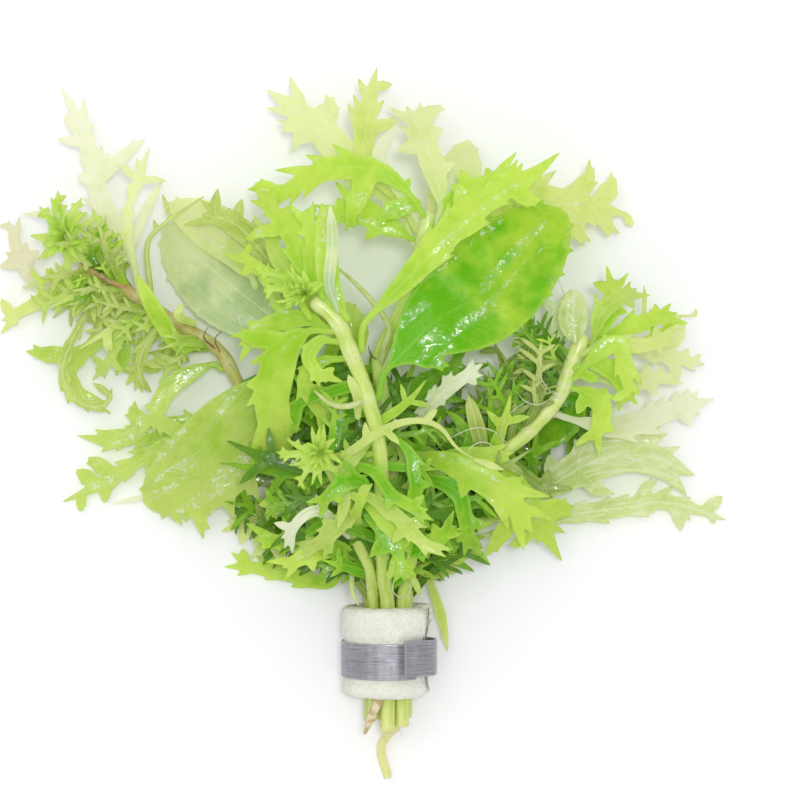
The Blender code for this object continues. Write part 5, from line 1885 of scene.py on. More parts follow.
@dataclass(frozen=True)
class StemFinish:
    """The finish of a stem: pale, fleshy and finely ribbed.

    Attributes:
        name: The material's name.
        slot: The record's material slot.
        skin: Its main colour.
        shade: Its colour in the darker streaks.
        knot: Its colour at the rings where leaves grow.
        pith: The colour of its cut face.
        blush: The colour that its outer part turns to.
    """

    name: str
    slot: str
    skin: tuple
    shade: tuple
    knot: tuple
    pith: tuple
    blush: tuple

    def material(self) -> bpy.types.Material:
        """Builds the material.

        Returns:
            The finished material.
        """
        paint = Paint(self.name)
        flow = paint.own("flow", vector=True)
        streaks = paint.noise(1.5, 3.0, flow).between(0.40, 0.64)
        colour = paint.mix(streaks * 0.75, self.skin, self.shade)
        ribs = paint.noise(0.5, 2.0, flow).between(0.5, 0.66)
        colour = paint.mix(ribs * 0.25, colour, self.knot)
        blots = paint.noise(2.2, 3.0).between(0.44, 0.60)
        colour = paint.mix(paint.own("blush") * (0.55 + 0.45 * blots), colour, self.blush)
        rings = paint.own("knot")
        colour = paint.mix(rings * 0.55, colour, self.knot)
        scars = paint.noise(0.8, 3.0).between(0.62, 0.70) * rings
        colour = paint.mix(scars * 0.7, colour, (0.22, 0.12, 0.05))
        cut = paint.own("cut")
        fibres = paint.noise(0.35, 2.0).between(0.4, 0.62)
        face = paint.mix(fibres * 0.5, self.pith, (0.50, 0.42, 0.14))
        colour = paint.mix(cut, colour, face)
        grain = paint.bump(paint.noise(0.6, 3.0, flow), 0.12, 0.6)
        lumps = paint.bump(paint.noise(2.4, 2.0), 0.3, 0.4, grain)
        wet = paint.noise(4.0, 2.0).between(0.48, 0.62)
        return paint.finish(paint.tissue(0.22, colour, lumps, Roughness=0.42 - 0.2 * wet, IOR=1.42,
                                         Coat_Weight=wet * 0.5, Coat_Roughness=0.08))


PALE_STEM = StemFinish("stem_pale", "stem", (0.72, 0.84, 0.24), (0.50, 0.72, 0.08), (0.86, 0.90, 0.50),
                       (0.90, 0.88, 0.58), (0.92, 0.84, 0.40))
RED_STEM = StemFinish("stem_reddish", "stem_red", (0.62, 0.74, 0.22), (0.54, 0.60, 0.14), (0.76, 0.72, 0.38),
                      (0.86, 0.82, 0.54), (0.50, 0.25, 0.10))


class GeometryTree(Tree):
    """A Geometry Nodes tree with named inputs."""

    def __init__(self, name: str, inputs: dict[str, tuple]) -> None:
        """Args:
            name: The tree's name.
            inputs: Socket type and default by input name.
        """
        self.group = bpy.data.node_groups.new(name, "GeometryNodeTree")
        self.group.interface.new_socket("Geometry", in_out="INPUT", socket_type="NodeSocketGeometry")
        self.ids = {}
        for key, (kind, value) in inputs.items():
            socket = self.group.interface.new_socket(key, in_out="INPUT", socket_type=kind)
            if value is not None:
                socket.default_value = value
            self.ids[key] = socket.identifier
        self.group.interface.new_socket("Geometry", in_out="OUTPUT", socket_type="NodeSocketGeometry")
        super().__init__(self.group)
        self.entry = self.tree.nodes.new("NodeGroupInput")

    def given(self, name: str = "Geometry") -> Signal:
        """One of the tree's inputs."""
        return Signal(self, self.entry.outputs[name])

    def carried(self, name: str) -> Signal:
        """A value that the mesh carries at its points."""
        return self.node("GeometryNodeInputNamedAttribute", {"data_type": "FLOAT"}, {"Name": name})

    def close(self, geometry: Signal, height: Signal) -> None:
        """Moves geometry along its normals, and ends the tree in Realize Instances and Set Material.

        Args:
            geometry: The geometry.
            height: How far each point moves, in metres.
        """
        facing = self.node("GeometryNodeInputNormal")
        push = self.node("ShaderNodeVectorMath", {"operation": "SCALE"}, {0: facing, "Scale": height})
        moved = self.node("GeometryNodeSetPosition", {}, {"Geometry": geometry, "Offset": push})
        smooth = self.node("GeometryNodeSetShadeSmooth", {}, {"Geometry": moved, "Shade Smooth": True})
        real = self.node("GeometryNodeRealizeInstances", {}, {"Geometry": smooth})
        dressed = self.node("GeometryNodeSetMaterial", {},
                            {"Geometry": real, "Material": self.given("Material")})
        leave = self.tree.nodes.new("NodeGroupOutput")
        self.tree.links.new(dressed.socket, leave.inputs[0])

    def grow(self, source: bpy.types.Mesh, name: str, **values: object) -> bpy.types.Mesh:
        """Runs the tree on a mesh and returns the plain mesh that it makes.

        Args:
            source: The mesh that goes in.
            name: The name of the result.
            values: The tree's inputs, with underscores for the spaces in their names.

        Returns:
            The mesh that comes out.
        """
        host = bpy.data.objects.new(name + "_growing", source)
        bpy.context.scene.collection.objects.link(host)
        step = host.modifiers.new("grow", "NODES")
        step.node_group = self.group
        for key, value in values.items():
            step[self.ids[key.replace("_", " ")]] = value
        bpy.context.view_layer.update()
        seen = host.evaluated_get(bpy.context.evaluated_depsgraph_get())
        made = bpy.data.meshes.new_from_object(seen)
        made.name = name
        host.modifiers.clear()
        bpy.data.objects.remove(host, do_unlink=True)
        return made


class TubeTree(GeometryTree):
    """Turns lines with a radius at each point into ribbed tubes with closed ends."""

    def __init__(self) -> None:
        """Builds the tree."""
        super().__init__("tubes_along_lines", {
            "Sides": ("NodeSocketInt", 20), "Ribs": ("NodeSocketFloat", 5.0),
            "Rib depth": ("NodeSocketFloat", 0.00008), "Lump depth": ("NodeSocketFloat", 0.00018),
            "Material": ("NodeSocketMaterial", None),
        })
        lines = self.node("GeometryNodeMeshToCurve", {}, {"Mesh": self.given()})
        ring = self.node("GeometryNodeCurvePrimitiveCircle", {},
                         {"Resolution": self.given("Sides"), "Radius": 1.0})
        turn = self.node("GeometryNodeSplineParameter")
        ring = self.node("GeometryNodeStoreNamedAttribute", {"data_type": "FLOAT", "domain": "POINT"},
                         {"Geometry": ring, "Name": "turn", "Value": turn})
        tube = self.node("GeometryNodeCurveToMesh", {}, {
            "Curve": lines, "Profile Curve": ring, "Scale": self.carried("radius"), "Fill Caps": True})
        around, along, soft = (self.carried(name) for name in ("turn", "along", "ribbed"))
        wave = (around * self.given("Ribs") * (2 * math.pi) + along * 9.0).sine() * self.given("Rib depth")
        lumps = self.node("ShaderNodeTexNoise", {}, {"Scale": 420.0, "Detail": 2.0}) - 0.5
        self.close(tube, (wave + lumps * self.given("Lump depth") * 2.0) * soft)


def line_mesh(name: str, lines: list[np.ndarray], values: dict[str, list[np.ndarray]]) -> bpy.types.Mesh:
    """A mesh of bare lines that carries values at its points.

    Args:
        name: The mesh's name.
        lines: Points along each line, in millimetres.
        values: One array a line for each attribute.

    Returns:
        The mesh, in metres.
    """
    points = np.vstack(lines) * MM
    edges, first = [], 0
    for line in lines:
        edges += [(first + k, first + k + 1) for k in range(len(line) - 1)]
        first += len(line)
    data = bpy.data.meshes.new(name)
    data.from_pydata(points.tolist(), edges, [])
    for key, parts in values.items():
        layer = data.attributes.new(key, "FLOAT", "POINT")
        layer.data.foreach_set("value", np.concatenate(parts).astype(np.float32))
    return data


@dataclass
class StemBundle:
    """The eight stems, from their cut ends to where the shoots' tips begin."""

    stems: dict[str, StemLine]
    pitch: float = 0.75
    sides: int = 24
    ring_width: float = 1.5
    ring_swelling: float = 0.17
    tail_start: float = -18.0
    tail_thinning: float = 0.65
    red_stem: str = "stem_4"
    leaf_spots: dict[str, list[tuple]] = field(default_factory=dict)

    # Shares of the radius by the distance from the tip and from the cut end
    TIP_TAPER = ([0, 0.6, 1.8], [0.55, 0.85, 1.0])
    CUT_TAPER = ([0, 0.5], [0.93, 1.0])
    FLOW_STRETCH = 0.12

    def rings(self, stem: StemLine, along: np.ndarray) -> np.ndarray:
        """Where the rings of the stem are, as a strength from 0 to 1.

        Args:
            stem: The stem.
            along: Distance along the stem of each of its points.

        Returns:
            The strength at each point.
        """
        strength = np.zeros(len(along))
        for spot in self.leaf_spots.get(stem.name, []):
            index = int(np.argmin(np.linalg.norm(stem.line[:, :2] - np.array(spot, float), axis=1)))
            at = along[int(index * (len(along) - 1) / (len(stem.line) - 1))]
            strength = np.maximum(strength, np.exp(-((along - at) / self.ring_width) ** 2))
        return strength

    def build(self) -> None:
        """Builds every stem as a piece of its own."""
        tree = TubeTree()
        pale, red = PALE_STEM.material(), RED_STEM.material()
        for stem in self.stems.values():
            length = run_length(stem.line)
            line = smooth_line(stem.line, int(length / self.pitch))
            along = np.linspace(0, length, len(line))
            rings = self.rings(stem, along)
            radius = stem.radius * (0.97 + self.ring_swelling * rings)
            loose = line[:, 1] < self.tail_start
            radius = np.where(loose, stem.radius * self.tail_thinning, radius)
            radius = np.convolve(np.pad(radius, 3, mode="edge"), np.ones(7) / 7, mode="valid")
            radius *= np.interp(length - along, *self.TIP_TAPER)
            radius *= np.interp(along, *self.CUT_TAPER)
            is_red = stem.name == self.red_stem
            far = np.clip((length - along - 6) / 62, 0, 1)
            blush = (1 - far) ** 0.6 * 0.95 if is_red else smooth_step(-line[:, 1], 4, 24)
            ribbed = np.interp(along, [0, 1.2, length - 1.5, length], [0.2, 1, 1, 0])
            cut = smooth_step(-along, -0.7, -0.15)
            source = line_mesh(stem.name, [line], {
                "radius": [radius * MM], "along": [along * ALONG_SCALE], "ribbed": [ribbed], "knot": [rings],
                "blush": [np.broadcast_to(blush, along.shape)], "cut": [cut]})
            look = red if is_red else pale
            data = tree.grow(source, stem.name + "_flesh", Sides=self.sides, Ribs=6.0, Rib_depth=0.00006,
                             Lump_depth=0.00016, Material=look)
            self.add_flow(data, stem.radius)
            slot = RED_STEM.slot if is_red else PALE_STEM.slot
            add_piece(stem.name + "_flesh", data, look, slot, stem.name)

    def add_flow(self, data: bpy.types.Mesh, radius: float) -> None:
        """Adds the coordinates that run along a stem and round it.

        Args:
            data: The stem's mesh.
            radius: Its radius.
        """
        count = len(data.vertices)
        along, turn = np.empty(count, np.float32), np.empty(count, np.float32)
        data.attributes["along"].data.foreach_get("value", along)
        data.attributes["turn"].data.foreach_get("value", turn)
        angle = turn * 2 * math.pi
        across = [radius * np.cos(angle), radius * np.sin(angle)]
        flow = np.column_stack([along / ALONG_SCALE * self.FLOW_STRETCH, *across]) * MM
        layer = data.attributes.new("flow", "FLOAT_VECTOR", "POINT")
        layer.data.foreach_set("vector", flow.astype(np.float32).ravel())
        data.set_sharp_from_angle(angle=math.radians(55))


@dataclass(frozen=True)
class ThreadFinish:
    """The finish of fine root threads.

    Attributes:
        name: The material's name.
        slot: The record's material slot.
        colour: Its main colour.
        tip: Its colour in patches.
    """

    name: str
    slot: str
    colour: tuple
    tip: tuple

    def material(self) -> bpy.types.Material:
        """Builds the material.

        Returns:
            The finished material.
        """
        paint = Paint(self.name)
        colour = paint.mix(paint.noise(2.5, 2.0).between(0.4, 0.6), self.colour, self.tip)
        return paint.finish(paint.tissue(0.3, colour, Roughness=0.35))


@dataclass
class Threads:
    """Fine root threads: the points each one runs through, and its radius."""

    name: str
    look: ThreadFinish
    radius: float
    runs: list
    sides: int = 6

    def build(self, tree: TubeTree) -> None:
        """Builds the threads as one piece.

        Args:
            tree: The tree that makes tubes.
        """
        lines, radii, alongs = [], [], []
        for run in self.runs:
            line = smooth_line(run, max(int(run_length(np.array(run, float)) / 0.8), 5))
            line[:, 2] = np.maximum(line[:, 2], FLOOR_CLEARANCE + self.radius)
            share = np.linspace(0, 1, len(line))
            lines.append(line)
            radii.append(self.radius * np.interp(share, [0, 0.7, 1], [1, 0.8, 0.3]) * MM)
            alongs.append(share)
        source = line_mesh(self.name, lines, {"radius": radii, "along": alongs,
                                              "ribbed": [np.zeros(len(line)) for line in lines]})
        look = self.look.material()
        data = tree.grow(source, self.name, Sides=self.sides, Ribs=0.0, Rib_depth=0.0, Lump_depth=0.0,
                         Material=look)
        add_piece(self.name, data, look, self.look.slot)


def swept(rings: np.ndarray, values: dict[str, np.ndarray]) -> Skin:
    """A closed skin through rings of points, with its two ends filled.

    Args:
        rings: Rings by points by three coordinates.
        values: Attributes, one array of rings by points each, or with three more values for a vector.

    Returns:
        The skin, facing out.
    """
    count, around, _ = rings.shape
    index = np.arange(count * around).reshape(count, around)
    after = np.roll(index, -1, axis=1)
    a, b, c, d = index[:-1], after[:-1], after[1:], index[1:]
    faces = [np.stack([a, b, c], -1).reshape(-1, 3), np.stack([a, c, d], -1).reshape(-1, 3)]
    points = [rings.reshape(-1, 3)]
    carried = {key: [value.reshape(count * around, -1)] for key, value in values.items()}
    for number, (row, order) in enumerate(((0, -1), (count - 1, 1))):
        middle = count * around + number
        points.append(rings[row].mean(axis=0)[None])
        pairs = np.stack([index[row], after[row]], -1)[:, ::order]
        faces.append(np.column_stack([pairs, np.full(around, middle)]))
        for key, value in values.items():
            carried[key].append(value[row].reshape(around, -1).mean(axis=0)[None])
    points, faces = np.vstack(points), np.vstack(faces)
    corners = points[faces]
    volume = np.einsum("ij,ij->i", corners[:, 0], np.cross(corners[:, 1], corners[:, 2])).sum()
    if volume < 0:
        faces = faces[:, ::-1]
    joined = {key: np.vstack(parts) for key, parts in carried.items()}
    joined = {key: part[:, 0] if part.shape[1] == 1 else part for key, part in joined.items()}
    return Skin(points, faces, joined)


def rounded_box(width: float, depth: float, radius: float, corner: int, side: int) -> np.ndarray:
    """Points round a rectangle with round corners.

    Args:
        width: Its first size.
        depth: Its second size.
        radius: The corners' radius.
        corner: Points on a quarter circle.
        side: Points along each longer side between the corners.

    Returns:
        The points, in order.
    """
    found = []
    for turn, (x, y) in enumerate(((1, 1), (-1, 1), (-1, -1), (1, -1))):
        middle = np.array([x * (width / 2 - radius), y * (depth / 2 - radius)])
        for angle in np.radians(np.linspace(turn * 90, turn * 90 + 90, corner)):
            found.append(middle + radius * pointing(angle))
        if turn in (0, 2):
            for share in np.linspace(0, 1, side + 2)[1:-1]:
                found.append(np.array([x * (width / 2 - radius) * (1 - 2 * share), y * depth / 2]))
    return np.array(found)


class PoreTree(GeometryTree):
    """Pushes a foam's surface in and out: soft lumps, and the rims and hollows of its open cells."""

    def __init__(self) -> None:
        """Builds the tree."""
        super().__init__("foam_pores", {
            "Pore size": ("NodeSocketFloat", 0.0009), "Pore depth": ("NodeSocketFloat", 0.0004),
            "Lump depth": ("NodeSocketFloat", 0.0005), "Material": ("NodeSocketMaterial", None),
        })
        pores = self.node("ShaderNodeTexVoronoi", {"feature": "F1"}, {"Scale": 1.0 / self.given("Pore size")})
        grain = self.node("ShaderNodeTexNoise", {}, {"Scale": 1400.0, "Detail": 2.0}) - 0.5
        lumps = self.node("ShaderNodeTexNoise", {}, {"Scale": 190.0, "Detail": 1.0}) - 0.5
        total = (pores - 0.62) * self.given("Pore depth") + grain * self.given("Pore depth") * 0.8
        self.close(self.given(), total + lumps * self.given("Lump depth"))


@dataclass
class FoamWrap:
    """The strip of open foam rolled once round the stems, pinched by the metal strip.

    Attributes:
        radius: Radius of the middle of its thickness.
        thickness: Its thickness.
        pinch: How far the strip presses it in.
        first_turn: Angle of its inner end in degrees.
        last_turn: Angle of its outer end.
        flap: How far the outer end stands off.
        flap_turn: Angle where it starts to stand off.
        pinched: How far from the strip's middle it is pressed in, and the width that this fades over.
        free: Distances from the strip's middle between which the outer end comes free.
        corner: Radius of its corners.
        pitch: Distance between its points.
    """

    radius: float = 10.6
    thickness: float = 4.6
    pinch: float = 0.8
    first_turn: float = 28.0
    last_turn: float = 338.0
    flap: float = 2.1
    flap_turn: float = 300.0
    pinched: tuple = (7.6, 2.4)
    free: tuple = (6.5, 11.0)
    corner: float = 2.1
    pitch: float = 0.42

    @staticmethod
    def material() -> bpy.types.Material:
        """The foam's material: cream, with darker cells and a damp, greener tint in patches."""
        paint = Paint("foam_cream")
        cells = paint.cells(0.9).between(0.15, 0.7)
        colour = paint.mix(0.35 + cells * 0.45, (0.80, 0.80, 0.66), (0.98, 0.97, 0.90))
        specks = paint.noise(0.5, 3.0).between(0.52, 0.70)
        colour = paint.mix(specks * 0.22, colour, (0.64, 0.65, 0.52))
        damp = paint.noise(7.0, 3.0).between(0.45, 0.65)
        colour = paint.mix(damp * 0.4, colour, (0.78, 0.80, 0.66))
        fine = paint.bump(paint.noise(0.35, 3.0), 0.16, 0.7)
        return paint.finish(paint.tissue(0.2, colour, fine, Roughness=0.85))

    def build(self) -> None:
        """Builds the foam."""
        length = math.radians(self.last_turn - self.first_turn) * self.radius
        turns = np.linspace(self.first_turn, self.last_turn, int(length / self.pitch))
        width = FOAM_TOP - FOAM_BOTTOM
        section = rounded_box(width, self.thickness, self.corner, 9, int(width / self.pitch))
        centre = (FOAM_TOP + FOAM_BOTTOM) / 2
        rings = []
        for turn in turns:
            from_end = math.radians(min(turn - self.first_turn, self.last_turn - turn)) * self.radius
            squeeze = math.sqrt(max(1 - (1 - min(from_end / self.corner, 1.0)) ** 2, 0.02))
            angle = math.radians(turn)
            loose = max(0.0, (turn - self.flap_turn) / (self.last_turn - self.flap_turn))
            levels = centre + section[:, 0] * (1 - 0.02 * (1 - squeeze))
            from_band = np.abs(levels - BAND_LEVEL)
            held = smooth_step(self.pinched[0] - from_band, 0.0, self.pinched[1])
            free = smooth_step(from_band, *self.free)
            radius = self.radius + section[:, 1] * squeeze - self.pinch * held + self.flap * free * loose**2
            heights = ROLL_HEIGHT + radius * math.sin(angle)
            rings.append(np.column_stack([radius * math.cos(angle), levels, heights]))
        skin = swept(np.array(rings), {})
        look = self.material()
        data = PoreTree().grow(skin.mesh("foam_wrap_plain", 180), "foam_wrap_sponge", Pore_size=0.0009,
                               Pore_depth=0.00042, Lump_depth=0.0006, Material=look)
        self.keep_above_floor(data)
        add_piece("foam_wrap_sponge", data, look, "foam", "foam_wrap")

    @staticmethod
    def keep_above_floor(data: bpy.types.Mesh) -> None:
        """Lifts the points of a mesh that are below the floor's clearance.

        Args:
            data: The mesh.
        """
        found = np.empty(len(data.vertices) * 3, np.float32)
        data.vertices.foreach_get("co", found)
        points = found.reshape(-1, 3)
        points[:, 2] = np.maximum(points[:, 2], FLOOR_CLEARANCE * MM)
        data.vertices.foreach_set("co", points.ravel())
        data.update()


@dataclass
class MetalStrip:
    """The soft metal strip bent once round the foam, flat underneath, its outer end flat on top.

    Attributes:
        thickness: Its thickness.
        edge: Radius of its edges.
        foot: Width of its flat underside.
        lift: How far its outer end rises over the inner one.
        shift: How far its outer end moves along the stems.
        turns: First angle in degrees, end and step of its round part.
        lift_turns: The same of the part that rises.
        tab: Points of its flat outer end.
    """

    thickness: float = 0.6
    edge: float = 0.2
    foot: float = 6.6
    lift: float = 0.95
    shift: float = 1.1
    turns: tuple = (52, 249, 14)
    lift_turns: tuple = (298, 380, 13)
    tab: tuple = ((12.1, 0.88, 21.4), (4.7, 1.1, 27.2))

    @staticmethod
    def material() -> bpy.types.Material:
        """The strip's material: dull grey-mauve metal, brushed along its length, with small dents."""
        paint = Paint("soft_metal_brushed")
        flow = paint.own("flow", vector=True)
        brush = paint.noise(0.22, 4.0, flow, 0.65).between(0.38, 0.64)
        colour = paint.mix(brush, (0.23, 0.225, 0.25), (0.47, 0.465, 0.495))
        bands = paint.noise(1.1, 2.0, flow).between(0.42, 0.62)
        colour = paint.mix(bands * 0.5, colour, (0.37, 0.365, 0.395))
        smears = paint.noise(3.0, 3.0).between(0.56, 0.70)
        colour = paint.mix(smears * 0.4, colour, (0.50, 0.50, 0.55))
        # Paler towards the strip's edges and ends.
        pale_edges = paint.own("edge").between(0.5, 0.1)
        colour = paint.mix(pale_edges * 0.6, colour, (0.55, 0.55, 0.60))
        lines = paint.bump(brush, 0.05, 0.6)
        dents = paint.bump(paint.noise(2.6, 2.0), 0.16, 0.5, lines)
        return paint.finish(paint.node("ShaderNodeBsdfPrincipled", {}, {
            "Base Color": colour, "Metallic": 1.0, "Roughness": 0.40 + 0.2 * brush, "Normal": dents}))

    def section(self) -> list[tuple]:
        """Points along the middle of the strip, seen from its end.

        Returns:
            Across, along the stems, and up.
        """
        found = [(BAND_RADIUS, turn, 0.0) for turn in range(*self.turns)]
        foot = math.degrees(math.atan2(self.foot / 2, BAND_RADIUS))
        found += [(math.hypot(BAND_RADIUS, self.foot / 2), turn, 0.0) for turn in (270 - foot, 270 + foot)]
        first, end, _ = self.lift_turns
        for turn in range(*self.lift_turns):
            share = (turn - first) / (end - first)
            found.append((BAND_RADIUS + self.lift * share, turn, self.shift * share * 0.6))
        middles = []
        for radius, turn, shift in found:
            angle = math.radians(turn)
            middles.append((radius * math.cos(angle), shift, ROLL_HEIGHT + radius * math.sin(angle)))
        return middles + list(self.tab)

    def build(self) -> None:
        """Builds the strip."""
        line = smooth_line(self.section(), 190)
        line[:, 2] = np.maximum(line[:, 2], self.thickness / 2 + 0.01)
        along = np.gradient(line, axis=0)
        along[:, 1] = 0
        along /= np.linalg.norm(along, axis=1)[:, None]
        out = np.stack([along[:, 2], np.zeros(len(line)), -along[:, 0]], axis=1)
        box = rounded_box(BAND_WIDTH, self.thickness, self.edge, 4, 22)
        distance = np.concatenate([[0], np.cumsum(np.linalg.norm(np.diff(line, axis=0), axis=1))])
        rings, flow, edge = [], [], []
        for spot, normal, at in zip(line, out, distance):
            ripple = 0.05 * math.sin(at * 0.9) + 0.04 * math.sin(at * 2.3 + 1)
            ring = spot + (box[:, :1] + BAND_LEVEL) * np.array([0, 1, 0]) + (box[:, 1:] + ripple) * normal
            ring[:, 2] = np.maximum(ring[:, 2], 0.0)
            rings.append(ring)
            flow.append(np.column_stack([np.full(len(box), at * 0.03), box]) * MM)
            from_end = min(at, distance[-1] - at)
            edge.append(np.minimum(BAND_WIDTH / 2 - np.abs(box[:, 0]), from_end))
        skin = swept(np.array(rings), {"flow": np.array(flow), "edge": np.array(edge)})
        add_piece("metal_strip_bent", skin.mesh("metal_strip_bent", 40), self.material(), "soft_metal",
                  "metal_strip")


